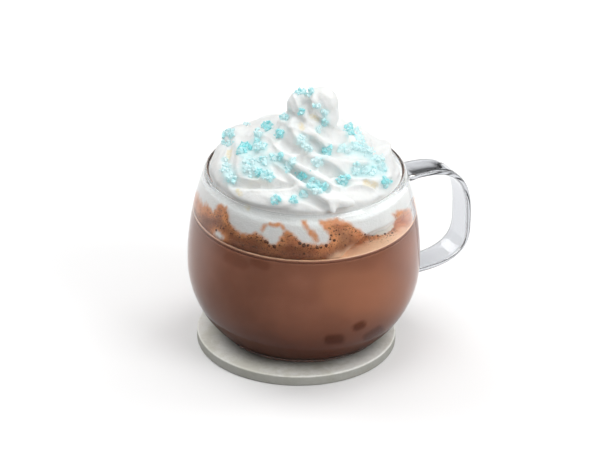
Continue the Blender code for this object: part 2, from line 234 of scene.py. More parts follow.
class Nodes:
    """A node tree and the one way in which its nodes are made."""

    def __init__(self, tree):
        self.tree = tree

    def node(self, kind, choices=None, *inputs, output=0, **named):
        """Add a node, make its choices, then set its inputs by place or by name."""
        made = self.tree.nodes.new(kind)
        for key, value in (choices or {}).items():
            setattr(made, key, value)
        for key, value in enumerate(inputs):
            self.feed(made.inputs[key], value)
        for key, value in named.items():
            self.feed(made.inputs[key.replace("_", " ")], value)
        return Wire(self, made.outputs[output])

    def feed(self, socket, value):
        """Link a wire to a socket or set its value; None leaves it alone."""
        if value is None:
            return
        if isinstance(value, Wire):
            self.tree.links.new(value.socket, socket)
        elif socket.type == "RGBA" and len(value) == 3:
            socket.default_value = (*value, 1.0)
        else:
            socket.default_value = value

    def parts(self, vector):
        """The three parts of a vector."""
        split = self.node("ShaderNodeSeparateXYZ", None, vector)
        return [Wire(self, socket) for socket in split.socket.node.outputs]

    def range(self, value, low, high, to_low=0.0, to_high=1.0):
        """Carry a value smoothly from one range to another, without going beyond it."""
        return self.node("ShaderNodeMapRange", {"interpolation_type": "SMOOTHSTEP"}, value,
                         low, high, to_low, to_high)


class Finish(Nodes):
    """One material: its shader tree with the noises and mixes that all finishes use."""

    def __init__(self, name):
        self.material = bpy.data.materials.new(name)
        self.material.use_nodes = True
        super().__init__(self.material.node_tree)
        self.tree.nodes.clear()

    def place(self):
        """Object coordinates."""
        return self.node("ShaderNodeTexCoord", output="Object")

    def share(self, name):
        """A share that the piece's mesh holds for each point."""
        return self.node("ShaderNodeAttribute", {"attribute_name": name}, output="Fac")

    def ray(self, kind):
        """1 for one kind of ray of light, 0 for the others."""
        return self.node("ShaderNodeLightPath", output=kind)

    def speckle(self, scale, detail=2.0, rough=0.5):
        """Noise from 0 to 1; scale is the number of blobs in a metre."""
        return self.node("ShaderNodeTexNoise", None, Vector=self.place(), Scale=scale,
                         Detail=detail, Roughness=rough, output="Fac")

    def cells(self, scale):
        """Distance from the nearest of many scattered points."""
        return self.node("ShaderNodeTexVoronoi", {"feature": "F1"}, Vector=self.place(),
                         Scale=scale, Randomness=1.0, output="Distance")

    def mix(self, share, first, second):
        """First colour where the share is 0, second where it is 1."""
        inputs = [None] * MIX_SECOND + [second]
        inputs[MIX_SHARE] = share
        inputs[MIX_FIRST] = first
        return self.node("ShaderNodeMix", {"data_type": "RGBA"}, *inputs, output=MIX_RESULT)

    def axis_distance(self):
        """Distance from the mug's axis."""
        x, y, _ = self.parts(self.place())
        return (x * x + y * y) ** 0.5

    def bump(self, height, distance, strength=1.0):
        """Normals of fine relief; the distance is how far it rises."""
        return self.node("ShaderNodeBump", None, Height=height, Distance=distance,
                         Strength=strength, output="Normal")

    def principled(self, **named):
        """The surface shader that every finish is made of."""
        return self.node("ShaderNodeBsdfPrincipled", **named)

    def end(self, shader):
        """Lead the shader out and hand over the material."""
        leave = self.tree.nodes.new("ShaderNodeOutputMaterial")
        self.feed(leave.inputs["Surface"], shader)
        return self.material

    def surface(self, **named):
        """End with the surface shader alone."""
        return self.end(self.principled(**named))


class Graph(Nodes):
    """A Geometry Nodes tree with named inputs that remakes a piece's mesh."""

    def __init__(self, name, values):
        super().__init__(bpy.data.node_groups.new(name, "GeometryNodeTree"))
        self.values = values
        self.keys = {}
        face = self.tree.interface
        face.new_socket("Geometry", in_out="INPUT", socket_type="NodeSocketGeometry")
        face.new_socket("Geometry", in_out="OUTPUT", socket_type="NodeSocketGeometry")
        for key, value in values.items():
            kind = "NodeSocketInt" if isinstance(value, int) else "NodeSocketFloat"
            made = face.new_socket(key, in_out="INPUT", socket_type=kind)
            self.keys[key] = made.identifier
        self.entry = self.tree.nodes.new("NodeGroupInput")

    def given(self, key="Geometry"):
        """The geometry that comes in, or one of the named inputs."""
        return Wire(self, self.entry.outputs[key])

    def remake(self, piece, geometry):
        """End the tree and put what it makes of the piece in its place."""
        material = piece.data.materials[0]
        real = self.node("GeometryNodeRealizeInstances", None, geometry)
        coat = self.node("GeometryNodeSetMaterial", None, real, Material=material)
        leave = self.tree.nodes.new("NodeGroupOutput")
        self.feed(leave.inputs[0], coat)
        modifier = piece.modifiers.new(self.tree.name, "NODES")
        modifier.node_group = self.tree
        for key, value in self.values.items():
            modifier[self.keys[key]] = value
        return baked(piece)


# ---------------------------------------------------------------- materials

# Painted shade of the froth at the lower left
SHADED_FROTH = (0.17, 0.040, 0.013)
PORE_BROWN = (0.07, 0.024, 0.010)
CREAM_FILM = (0.80, 0.78, 0.72)
BUBBLE_DARK = (0.070, 0.028, 0.015)
BUBBLE_BROWN = (0.20, 0.085, 0.042)
WARM_CREAM = (0.84, 0.79, 0.62)
BUTTER_YELLOW = (0.80, 0.68, 0.38)
DYED_CREAM = (0.56, 0.79, 0.80)
STAIN_EDGE = (0.70, 0.29, 0.11)
STAIN_DEEP = (0.14, 0.038, 0.014)
# Painted glow of the sugar crystals, which are no lamps
PAINTED_PALE_GLOW = (0.085, 0.105, 0.107)
PAINTED_BLUE_GLOW = (0.03, 0.075, 0.08)
FROSTED_SUGAR = (0.80, 0.87, 0.87)
FLOOR_BOUNCE = (0.30, 0.30, 0.30)   # the floor as other pieces are lit by it
FLOOR_DARK = (0.02, 0.02, 0.02)


def toned(colour, red, green, blue):
    """A colour with each of its three parts made stronger or weaker."""
    return colour[0] * red, colour[1] * green, colour[2] * blue


def clear_glass(mug):
    """Clear polished glass with a faint waviness; it lets light through to what it holds."""
    finish = Finish("clear_glass")
    wave = finish.speckle(55.0, 1.0)
    # Painted shade: the glass darker on the handle, round the inside of the rim and in a band on
    # the strap
    tint = finish.mix(finish.share("painted_glass_shade"), tuple(mug.tint), (0.0, 0.0, 0.0))
    glass = finish.principled(
        Base_Color=tint, Roughness=0.0, IOR=1.47, Transmission_Weight=1.0,
        Normal=finish.bump(wave, 0.12 * MM, 0.6))
    see_through = finish.node("ShaderNodeBsdfTransparent", None, Color=(0.96, 0.97, 0.97))
    shadow = finish.ray("Is Shadow Ray")
    return finish.end(finish.node("ShaderNodeMixShader", None, shadow, glass, see_through))


def milky_coffee(drink):
    """Opaque brown drink: cloudy, redder and darker low down, paler high on its right by painted
    light, with a few dark patches, three of them painted reflections.
    """
    finish = Finish("milky_coffee")
    coffee = tuple(drink.coffee_colour)
    height = finish.parts(finish.place())[2]
    clouds = finish.range(finish.speckle(38.0, 3.0), 0.35, 0.75)
    body = finish.mix(clouds, coffee, toned(coffee, 1.27, 1.30, 1.35))
    low = finish.range(height, MUG_FOOT + 4 * MM, MUG_FOOT + 32 * MM, 0.9, 0.0)
    body = finish.mix(low, body, toned(coffee, 0.66, 0.42, 0.32))
    # Painted light: the drink paler high on its right
    pale = finish.share("painted_drink_glow") * 0.36
    body = finish.mix(pale, body, toned(coffee, 1.7, 1.8, 1.6))
    under_froth = MUG_FOOT + drink.level - drink.froth_thickness
    high = finish.range(height, under_froth - 9 * MM, under_froth, 0.0, 0.30)
    body = finish.mix(high, body, toned(coffee, 0.45, 0.40, 0.35))
    # Painted dark reflections and dark patches
    dark = finish.share("drink_shade") * 0.9
    body = finish.mix(dark, body, toned(coffee, 0.40, 0.17, 0.0))
    return finish.surface(Base_Color=body, Roughness=0.5, Specular_IOR_Level=0.1)


def froth_colour(finish, drink):
    """Foam from tan to deep orange brown with fine dark pores and painted shade at the lower left,
    and a mask of the pores.
    """
    blotch = finish.range(finish.speckle(85.0, 5.0, 0.62), 0.34, 0.68)
    streak = finish.range(finish.speckle(240.0, 3.0, 0.6), 0.35, 0.75)
    foam = finish.mix(blotch, drink.froth_dark, drink.froth_light)
    foam = finish.mix(streak * 0.35, foam, drink.froth_dark)
    # Painted shade at the lower left
    deep = finish.share("froth_painted_shade") * (0.35 + blotch * 0.4)
    foam = finish.mix(deep, foam, SHADED_FROTH)
    some = finish.range(finish.speckle(120.0, 2.0), 0.34, 0.54)
    pores = finish.range(finish.cells(480.0), 0.12, 0.28, 1.0, 0.0) * some
    pores = pores + finish.range(finish.cells(900.0), 0.14, 0.34, 0.8, 0.0)
    return finish.mix(pores * 0.75, foam, PORE_BROWN), pores


def coffee_froth(drink):
    """Tan froth with fine bubbles: paler at the glass and, by painted light, at the right; painted
    shade at the lower left; white where cream lies on it.
    """
    finish = Finish("coffee_froth")
    foam, pores = froth_colour(finish, drink)
    uneven = finish.speckle(120.0, 3.0) * 0.24 * MM
    edge = inner_radius(drink.level) - 0.25 * MM - uneven
    ring = finish.range(finish.axis_distance() - edge, 0.0, 0.15 * MM)
    tone = finish.mix(ring * 0.7, foam, drink.froth_rim_and_painted_light)
    # Painted light: paler tan at the right
    tone = finish.mix(finish.share("froth_painted_light") * 0.9, tone, drink.froth_rim_and_painted_light)
    tone = finish.mix(finish.share("cream_film"), tone, CREAM_FILM)
    level = MUG_FOOT + drink.level
    height = finish.parts(finish.place())[2]
    above = finish.range(height, level - 0.50 * MM, level - 0.35 * MM)
    tone = finish.mix(above, drink.coffee_colour, tone)
    return finish.surface(
        Base_Color=tone, Roughness=0.42, Normal=finish.bump(1.0 - pores, 0.25 * MM, 0.6))


def bubble_skin():
    """Dark wet skin of a bubble."""
    finish = Finish("bubble_skin")
    shade = finish.range(finish.speckle(600.0, 2.0), 0.3, 0.7)
    return finish.surface(
        Base_Color=finish.mix(shade, BUBBLE_DARK, BUBBLE_BROWN), Roughness=0.2)


def cream_white(finish, cream):
    """White with faint warm patches, butter-yellow and blue where the piece says so."""
    faint = finish.range(finish.speckle(60.0, 2.0), 0.62, 0.80)
    white = finish.mix(faint * 0.25, cream.colour, WARM_CREAM)
    patchy = finish.range(finish.speckle(700.0, 3.0, 0.6), 0.25, 0.60)
    white = finish.mix(finish.share("butter") * patchy * 0.6, white, BUTTER_YELLOW)
    uneven = (finish.speckle(500.0, 3.0) - 0.5) * 0.7
    bled = finish.range(finish.share("sugar_dye") + uneven, 0.10, 1.1)
    return finish.mix(bled * 0.85, white, DYED_CREAM)


def soft_cream(cream, drink):
    """White cream, stained by the froth as deep as the piece says, in mm."""
    finish = Finish("soft_cream")
    depth = finish.share("froth_depth")
    foam, _ = froth_colour(finish, drink)
    ragged = depth + (finish.speckle(330.0, 4.0, 0.6) - 0.5) * 2.4
    brown = finish.mix(finish.range(ragged, 0.2, 2.6), STAIN_EDGE, foam)
    deeper = finish.range(depth, 1.5, 6.0)
    brown = finish.mix(deeper * 0.65, brown, STAIN_DEEP)
    # Painted light: paler tan on the stain at the right
    brown = finish.mix(finish.share("froth_painted_light") * 0.9, brown, drink.froth_rim_and_painted_light)
    wet = finish.range(ragged, -1.1, 1.1)
    fluff = finish.speckle(1500.0, 3.0) + finish.speckle(420.0, 2.0) * 1.6
    return finish.surface(
        Base_Color=finish.mix(wet, cream_white(finish, cream), brown), Roughness=0.5,
        Subsurface_Weight=0.25, Subsurface_Radius=(3.0 * MM, 2.6 * MM, 2.3 * MM),
        Subsurface_Scale=1.0, Normal=finish.bump(fluff, 0.24 * MM, 0.7))


def blue_sugar(sugar):
    """Translucent pale blue crystal, deeper where the grain's tone says so, with a painted glow.
    """
    finish = Finish("blue_sugar")
    tone = finish.share("grain_tone")
    frost = finish.range(finish.speckle(620.0, 3.0, 0.6), 0.46, 0.70)
    deep = toned(sugar.colour, 0.38, 0.82, 0.84)
    body = finish.mix(finish.range(tone, 0.0, 1.1), sugar.colour, deep)
    # Painted glow: the crystals give light of their own
    painted_glow = finish.mix(tone, PAINTED_PALE_GLOW, PAINTED_BLUE_GLOW)
    return finish.surface(
        Base_Color=finish.mix(frost * 0.55, body, FROSTED_SUGAR), Roughness=0.22, IOR=1.4,
        Subsurface_Weight=0.4, Subsurface_Radius=(1.0 * MM, 1.4 * MM, 1.4 * MM),
        Subsurface_Scale=1.0, Emission_Color=painted_glow, Emission_Strength=1.0)


def pale_stone(coaster):
    """Matt grey-beige stone, mottled and finely pitted, with painted shadow under and near the
    mug, painted shade on its side face, and darker as glass mirrors it.
    """
    finish = Finish("pale_stone")
    blotch = finish.range(finish.speckle(70.0, 7.0, 0.68), 0.38, 0.60)
    speck = finish.range(finish.speckle(420.0, 4.0, 0.65), 0.50, 0.72)
    stone = finish.mix(blotch, coaster.dark, coaster.pale)
    stone = finish.mix(speck * 0.45, stone, coaster.dark)
    # Painted contact shadow round the mug's foot
    reach = finish.axis_distance() + finish.speckle(90.0, 3.0) * 4 * MM
    painted_shadow = finish.range(reach, 31 * MM, 48 * MM, 1.0, 0.0)
    stone = finish.mix(painted_shadow * 0.95, stone, coaster.painted_shadow)
    height = finish.parts(finish.place())[2]
    # Painted shade: the coaster's side face darker
    side = finish.range(height, MUG_FOOT - 1.3 * MM, MUG_FOOT - 0.4 * MM, 1.0, 0.0)
    stone = finish.mix(side * 0.75, stone, toned(coaster.dark, 0.31, 0.31, 0.31))
    # Painted darker reflection: the stone darker as glass mirrors it
    stone = finish.mix(finish.ray("Is Glossy Ray") * 0.75, stone, coaster.painted_shadow)
    pits = finish.speckle(900.0, 4.0, 0.7) + finish.speckle(260.0, 3.0, 0.6) * 1.5
    return finish.surface(
        Base_Color=stone, Roughness=0.72, Normal=finish.bump(pits, 0.4 * MM, 0.7))


def plain_floor(stage):
    """Pale floor, darker where glass that faces the camera mirrors it."""
    finish = Finish("plain_floor")
    back = view_axes()[2]
    x, y, _ = finish.parts(finish.place())
    near = finish.range(x * back.x + y * back.y, -0.05, 0.08)
    dark = near * finish.ray("Is Glossy Ray") * stage.floor_mirror
    seen = finish.mix(finish.ray("Is Transmission Ray"), stage.floor_colour,
                      stage.floor_through)
    seen = finish.mix(finish.ray("Is Diffuse Ray") * 0.55, seen, FLOOR_BOUNCE)
    colour = finish.mix(dark, seen, FLOOR_DARK)
    return finish.surface(Base_Color=colour, Roughness=0.9, Specular_IOR_Level=0.0)


# ---------------------------------------------------------------- shapes

def add_mesh(name, mesh, material):
    """Stand a mesh in the scene as a piece of one material."""
    piece = bpy.data.objects.new(name, mesh)
    bpy.context.scene.collection.objects.link(piece)
    piece.data.materials.clear()
    piece.data.materials.append(material)
    return piece


def turn_outward(mesh):
    """Make every face of a closed mesh face out, and shade it smooth."""
    shape = bmesh.new()
    shape.from_mesh(mesh)
    bmesh.ops.recalc_face_normals(shape, faces=shape.faces)
    shape.to_mesh(mesh)
    shape.free()
    mesh.shade_smooth()


def grid_mesh(name, rings, first_pole, last_pole):
    """Closed skin from rings of equal length, closed at its ends by poles."""
    count, rows = len(rings[0]), len(rings)
    points = np.concatenate([*rings, [first_pole, last_pole]])
    last = (rows - 1) * count
    sides = [(column, (column + 1) % count) for column in range(count)]
    faces = [(start + column, start + after, start + count + after, start + count + column)
             for start in range(0, last, count) for column, after in sides]
    for column, after in sides:
        faces.append((rows * count, after, column))
        faces.append((rows * count + 1, last + column, last + after))
    mesh = bpy.data.meshes.new(name)
    mesh.from_pydata(points.tolist(), [], faces)
    turn_outward(mesh)
    return mesh


def line_mesh(name, points):
    """An open line of points, for nodes to carry round or along."""
    mesh = bpy.data.meshes.new(name)
    edges = [(index, index + 1) for index in range(len(points) - 1)]
    mesh.from_pydata(points, edges, [])
    return mesh


LATHE_RADIUS = 10 * MM              # of the circle that a profile is carried round
WELD = 0.001 * MM                   # points nearer than this become one
ROUND_STEPS = 160                   # round the glass and the coaster
DRINK_STEPS = 240                   # round the drink


def turned(name, profile, steps, material, centre=(0.0, 0.0)):
    """A solid of revolution; its profile of radii and heights runs from axis to axis."""
    points = [(radius - LATHE_RADIUS, -height, 0.0) for radius, height in profile]
    piece = add_mesh(name, line_mesh(name, points), material)
    graph = Graph(name + "_lathe", {"Steps": steps, "Circle Radius": LATHE_RADIUS,
                                    "Weld": WELD})
    section = graph.node("GeometryNodeMeshToCurve", None, graph.given())
    circle = graph.node("GeometryNodeCurvePrimitiveCircle", {"mode": "RADIUS"},
                        Resolution=graph.given("Steps"), Radius=graph.given("Circle Radius"))
    upright = graph.node("GeometryNodeSetCurveNormal", {"mode": "Z_UP"}, circle)
    skin = graph.node("GeometryNodeCurveToMesh", None, upright, section)
    whole = graph.node("GeometryNodeMergeByDistance", None, skin,
                       Distance=graph.given("Weld"))
    placed = graph.node("GeometryNodeSetPosition", None, whole, Offset=(*centre, 0.0))
    graph.remake(piece, placed)
    turn_outward(piece.data)
    return piece


def baked(piece):
    """Replace a piece's mesh with what its modifiers make of it."""
    bpy.context.view_layer.update()
    evaluated = piece.evaluated_get(bpy.context.evaluated_depsgraph_get())
    mesh = bpy.data.meshes.new_from_object(evaluated)
    piece.modifiers.clear()
    old = piece.data
    piece.data = mesh
    mesh.name = piece.name
    bpy.data.meshes.remove(old)
    return piece


def finished(piece, slot, *replaced):
    """Every piece rides on the one body, and the solids that it replaces are hidden."""
    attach(piece, "root")
    if replaced:
        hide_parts(*replaced)
    return piece


def view_axes():
    """The camera's right, up and backward directions."""
    back = Vector((math.sin(SIDE) * math.cos(VIEW_ELEVATION),
                   -math.cos(SIDE) * math.cos(VIEW_ELEVATION), math.sin(VIEW_ELEVATION)))
    right = Vector((math.cos(SIDE), math.sin(SIDE), 0.0))
    up = back.cross(right)
    rolled_right = right * math.cos(VIEW_ROLL) + up * math.sin(VIEW_ROLL)
    rolled_up = up * math.cos(VIEW_ROLL) - right * math.sin(VIEW_ROLL)
    return rolled_right, rolled_up, back


def view_eye():
    """Where the camera stands."""
    right, up, back = view_axes()
    pixel = SENSOR / LENS / VIEW_WIDTH * VIEW_DISTANCE
    aside = (VIEW_WIDTH / 2 - AXIS_PIXEL[0]) * pixel
    above = (AXIS_PIXEL[1] - VIEW_HEIGHT / 2) * pixel
    middle = Vector((0.0, 0.0, MUG_MIDDLE + MUG_FOOT))
    return middle + back * VIEW_DISTANCE + right * aside + up * above


def view_ray(pixel_x, pixel_y):
    """Start and direction of the line of sight through a pixel."""
    right, up, back = view_axes()
    size = SENSOR / LENS / VIEW_WIDTH
    direction = (right * (pixel_x - VIEW_WIDTH / 2) * size
                 - up * (pixel_y - VIEW_HEIGHT / 2) * size - back)
    return view_eye(), direction.normalized()


def as_seen(points):
    """The pixels at which points in metres are seen."""
    right, up, back = (np.array(axis) for axis in view_axes())
    away = points - np.array(view_eye())
    size = LENS / SENSOR * VIEW_WIDTH / -(away @ back)
    return np.stack([VIEW_WIDTH / 2 + (away @ right) * size,
                     VIEW_HEIGHT / 2 - (away @ up) * size], axis=1)


def faces_viewer(points):
    """True on the half of the mug that the camera sees."""
    back = view_axes()[2]
    return points[:, 0] * back.x + points[:, 1] * back.y > 0.0


def mesh_points(mesh):
    """The places of a mesh's points, a row for each."""
    place = np.zeros(len(mesh.vertices) * 3)
    mesh.vertices.foreach_get("co", place)
    return place.reshape(-1, 3)


def add_share(mesh, name, values):
    """Keep a value for each point of a mesh, for its nodes or its material to read."""
    layer = mesh.attributes.new(name, "FLOAT", "POINT")
    layer.data.foreach_set("value", np.asarray(values, np.float32))


def grain(points, size):
    """Noise from -1 to 1 at each point; size is that of its blobs."""
    return np.array([noise.noise(Vector(point) / size) for point in points])


def ease(share):
    """Smooth step from 0 to 1."""
    share = np.clip(share, 0.0, 1.0)
    return share * share * (3.0 - 2.0 * share)


def line_side(points, line):
    """Distance from an open line, and whether a point lies below it or to its left."""
    line = np.asarray(line, float)
    nearest = np.full(len(points), np.inf)
    below = np.zeros(len(points), bool)
    for start, end in zip(line[:-1], line[1:]):
        step = end - start
        offset = points - start
        share = np.clip(offset @ step / (step @ step), 0.0, 1.0)
        gap = np.linalg.norm(offset - share[:, None] * step, axis=1)
        side = step[0] * offset[:, 1] - step[1] * offset[:, 0] > 0.0
        below = np.where(gap < nearest, side, below)
        nearest = np.minimum(nearest, gap)
    return nearest, below


def line_gap(points, line):
    """Distance of each point from an open line."""
    return line_side(points, line)[0]


MARK_SOFTNESS = 1.6                 # a mark has faded out at this many of its half widths


def mark_share(seen, line, width, ragged=0.0, softness=MARK_SOFTNESS):
    """1 on a line that is drawn in the view, fading out beside it; ragged shifts its edge."""
    return ease(softness - (line_gap(seen, line) + ragged) / width)


def inside_outline(points, outline):
    """True where a point lies inside a closed outline."""
    inside = np.zeros(len(points), bool)
    u, v = points[:, 0], points[:, 1]
    for (u0, v0), (u1, v1) in zip(outline, (*outline[1:], outline[0])):
        crosses = (v0 > v) != (v1 > v)
        level = v1 - v0 if v1 != v0 else 1e-9
        inside ^= crosses & (u < (u1 - u0) * (v - v0) / level + u0)
    return inside


# The line where cream ends and froth begins on the near side, as it is seen through the
# glass from left to right, in the camera's pixels.
MELT_LINE = (
    (176, 150), (205, 164), (201, 178), (199, 190), (203, 199), (206, 206), (209, 203),
    (212, 208), (215, 212), (218, 206), (223, 204), (228, 207), (230, 218), (233, 225),
    (240, 232), (247, 234), (257, 232), (266, 238), (270, 243), (275, 244), (280, 240),
    (283, 233), (286, 229), (292, 232), (302, 241), (308, 243), (318, 244), (326, 243),
    (330, 240), (328, 233), (322, 226), (319, 221), (322, 218), (332, 217), (341, 220),
    (350, 224), (358, 229), (363, 234), (370, 236), (377, 235), (386, 233), (392, 228),
    (394, 221), (391, 214), (396, 211), (405, 209), (413, 208), (420, 206))
BELOW_MELT = ((430, 320), (180, 320))   # these close an outline round the froth
# Lone marks on either side of it, with their half widths in pixels: froth that shows in the
# cream, and cream that lies on the froth.
FROTH_MARKS = (
    (((263, 230), (265, 226), (270, 224), (276, 225), (281, 224), (284, 228)), 1.4),
    (((303, 221), (306, 226), (310, 231), (313, 236), (316, 240)), 2.0),
    (((309, 229), (314, 234), (317, 240)), 2.0),
)
CREAM_MARKS = ((((219, 233), (222, 236)), 2.8),)


def brown_depth(points):
    """How far into the froth's brown a point is seen, in pixels; negative in the cream."""
    seen = as_seen(points)
    depth = line_gap(seen, MELT_LINE)
    depth = np.where(inside_outline(seen, MELT_LINE + BELOW_MELT), depth, -depth)
    for mark, width in FROTH_MARKS:
        depth = np.maximum(depth, width - line_gap(seen, mark))
    for mark, width in CREAM_MARKS:
        depth = np.minimum(depth, line_gap(seen, mark) - width)
    return depth + grain(points, 1.7 * MM) * 1.2


def film_share(points):
    """Where cream lies on the froth: as it is seen in front, round the foot behind."""
    turn = np.arctan2(points[:, 1], points[:, 0]) - SIDE
    distance = np.hypot(points[:, 0], points[:, 1]) / MM
    behind = (foot_radius(turn) + 0.6 - distance) * 2.0
    depth = np.where(faces_viewer(points), -brown_depth(points), behind)
    return ease(depth / 1.6 + 0.5)


# Painted light: the froth painted a paler tan at the right, where its top is lit; its course and
# half width in the camera's pixels.
LIT_FROTH_LINE = ((334, 262), (350, 256), (370, 249), (390, 242), (414, 230))
LIT_FROTH_WIDTH = 7.0
# Painted shade: the froth darkened at the lower left, where less light falls.
SHADED_FROTH_LINE = ((214, 226), (228, 236), (245, 243), (262, 248), (285, 252), (306, 251))
SHADED_FROTH_WIDTH = 9.0
SHADED_FROTH_SOFTNESS = 1.5


def painted_light_share(points):
    """How much of the painted light, a paler tan, a point shows."""
    ragged = grain(points, 4.0 * MM) * 3.0
    share = mark_share(as_seen(points), LIT_FROTH_LINE, LIT_FROTH_WIDTH, ragged)
    return share * faces_viewer(points)


def painted_shade_share(points):
    """How much painted shade darkens the froth at a point."""
    ragged = grain(points, 3.0 * MM) * 3.5
    share = mark_share(as_seen(points), SHADED_FROTH_LINE, SHADED_FROTH_WIDTH, ragged, SHADED_FROTH_SOFTNESS)
    return share * faces_viewer(points)


def side_radius(height, radius, lower):
    """Radius of the mug's side, outside or inside, at a height above its underside."""
    if height >= WIDEST_HEIGHT:
        return radius * math.sqrt(1.0 - ((height - WIDEST_HEIGHT) / UPPER_ELLIPSE) ** 2)
    share = (WIDEST_HEIGHT - height) / lower
    return radius * (1.0 - share ** LOWER_POWER) ** (1.0 / LOWER_POWER)


def outer_radius(height):
    """Radius of the glass outside."""
    return side_radius(height, settings().mug.radius, LOWER_ELLIPSE)


def inner_radius(height):
    """Radius of the glass inside."""
    mug = settings().mug
    return side_radius(height, mug.radius - mug.wall, INNER_LOWER_ELLIPSE)


FLOOR_CORNER = 2.2 * MM             # height of the rounding between the floor and the wall
FLOOR_FLAT = 27 * MM                # radius of the floor within that rounding
CORNER_POINTS = 9
# Points up the inside of the glass, round its rim and down its outside, and up the drink.
INSIDE_POINTS, RIM_POINTS, OUTSIDE_POINTS, DRINK_POINTS = 60, 13, 70, 50


def rounding(radius, height, reach, drop):
    """A rounded lower edge about a centre: from right below it outward and up."""
    return [(radius + reach * math.sin(turn), height - drop * math.cos(turn))
            for turn in np.linspace(0.0, math.pi / 2, CORNER_POINTS)]


def inner_profile(top, count):
    """The inside of the glass from the middle of its floor up to a height."""
    corner = FLOOR_THICKNESS + FLOOR_CORNER
    reach = inner_radius(corner) - FLOOR_FLAT
    floor = [(radius, FLOOR_THICKNESS) for radius in (0.0, 10 * MM, 20 * MM)]
    edge = rounding(FLOOR_FLAT, corner, reach, FLOOR_CORNER)
    wall = [(inner_radius(height), height) for height in np.linspace(corner, top, count)[1:]]
    return floor + edge + wall


# ---------------------------------------------------------------- the glass

# The strap runs round a superellipse; heights are above the mug's underside.
STRAP_CENTRE = (52.1 * MM, 36.5 * MM)
STRAP_REACH = 31.6 * MM             # from the centre out to the handle's far side
STRAP_RISE = 31.3 * MM              # up to its top
STRAP_DROP = 20.2 * MM              # down to its underside
STRAP_POWER = 3.0
STRAP_POINTS = 120
STRAP_BITE = 1.1 * MM               # how deep its roots stand in the wall
STRAP_FLARE = 0.5 * MM              # how much thicker it gets at the glass
STRAP_FLARE_LENGTH = 3.0 * MM
STRAP_CORNERS = 48
# Powers that bend the circle of its section: the smaller, the flatter the side.
STRAP_WIDTH_POWER = 0.36
STRAP_THICKNESS_POWER = 0.42


def strap_point(turn, inset):
    """A point of the strap, set in from its outer side."""
    across, upward = math.cos(turn), math.sin(turn)
    high = STRAP_RISE if upward > 0 else STRAP_DROP
    power = 2.0 / STRAP_POWER
    x = STRAP_CENTRE[0] + (STRAP_REACH - inset) * math.copysign(abs(across) ** power, across)
    z = STRAP_CENTRE[1] + (high - inset) * math.copysign(abs(upward) ** power, upward)
    return np.array((x, z))


def strap_path():
    """The strap's middle from its upper root in the glass to its lower one."""
    half = settings().mug.strap_thickness / 2
    turns = np.linspace(math.pi / 2, -math.pi / 2, STRAP_POINTS)
    bend = [strap_point(turn, half) for turn in turns]
    first, last = bend[0], bend[-1]
    root_top = np.array((outer_radius(first[1]) - STRAP_BITE, first[1]))
    root_low = np.array((outer_radius(last[1]) - STRAP_BITE, last[1]))
    lead_in = [root_top + (first - root_top) * share for share in (0.0, 0.33, 0.66)]
    lead_out = [last + (root_low - last) * share for share in (0.33, 0.66, 1.0)]
    return [(x, 0.0, z + MUG_FOOT) for x, z in lead_in + bend + lead_out]


def strap_section(graph):
    """A flat section with rounded edges: a circle stretched to a superellipse."""
    circle = graph.node("GeometryNodeCurvePrimitiveCircle", {"mode": "RADIUS"},
                        Resolution=STRAP_CORNERS, Radius=1.0)
    across, thick, _ = graph.parts(graph.node("GeometryNodeInputPosition"))

    def stretched(part, size, power):
        way = graph.node("ShaderNodeMath", {"operation": "SIGN"}, part)
        much = graph.node("ShaderNodeMath", {"operation": "ABSOLUTE"}, part)
        return way * much ** graph.given(power) * graph.given(size) * 0.5

    place = graph.node("ShaderNodeCombineXYZ", None, stretched(across, "Width", "Width Power"),
                       stretched(thick, "Thickness", "Thickness Power"))
    return graph.node("GeometryNodeSetPosition", None, circle, Position=place)


def build_strap(material):
    """The handle's strap, swept along its path and a little thicker at the glass."""
    mug = settings().mug
    piece = add_mesh("strap", line_mesh("strap", strap_path()), material)
    graph = Graph("strap_sweep", {
        "Width": mug.strap_width, "Thickness": mug.strap_thickness,
        "Width Power": STRAP_WIDTH_POWER, "Thickness Power": STRAP_THICKNESS_POWER,
        "Flare": STRAP_FLARE, "Flare Length": STRAP_FLARE_LENGTH, "Mug Radius": mug.radius})
    course = graph.node("GeometryNodeMeshToCurve", None, graph.given())
    course = graph.node("GeometryNodeSetCurveNormal", {"mode": "FREE"}, course,
                        Normal=(0.0, 1.0, 0.0))
    swept = graph.node("GeometryNodeCurveToMesh", None, course, strap_section(graph),
                       Fill_Caps=True)
    x = graph.parts(graph.node("GeometryNodeInputPosition"))[0]
    beyond = (x - graph.given("Mug Radius")) / graph.given("Flare Length")
    near = graph.node("ShaderNodeMath", {"operation": "SUBTRACT", "use_clamp": True}, 1.0,
                      beyond)
    push = graph.node("ShaderNodeVectorMath", {"operation": "SCALE"},
                      graph.node("GeometryNodeInputNormal"),
                      Scale=near * near * graph.given("Flare"))
    graph.remake(piece, graph.node("GeometryNodeSetPosition", None, swept, Offset=push))
    turn_outward(piece.data)
    return piece


def glass_profile():
    """The glass without its handle: up its inside, over the rim and down its outside."""
    mug = settings().mug
    rim_inner, rim_outer = inner_radius(mug.height), outer_radius(mug.height)
    half = (rim_outer - rim_inner) / 2
    centre = (rim_outer + rim_inner) / 2
    shoulder = mug.height - half
    profile = inner_profile(shoulder, INSIDE_POINTS)
    for turn in np.linspace(math.pi, 0.0, RIM_POINTS)[1:-1]:
        profile.append((centre + half * math.cos(turn), shoulder + half * math.sin(turn)))
    for height in np.linspace(shoulder, FOOT_ROUND, OUTSIDE_POINTS):
        profile.append((outer_radius(height), height))
    reach = outer_radius(FOOT_ROUND) - FOOT_RADIUS
    profile += rounding(FOOT_RADIUS, FOOT_ROUND, reach, FOOT_ROUND)[-2::-1]
    profile += [(18 * MM, 0.0), (8 * MM, 0.0), (0.0, 0.0)]
    return [(radius, height + MUG_FOOT) for radius, height in profile]


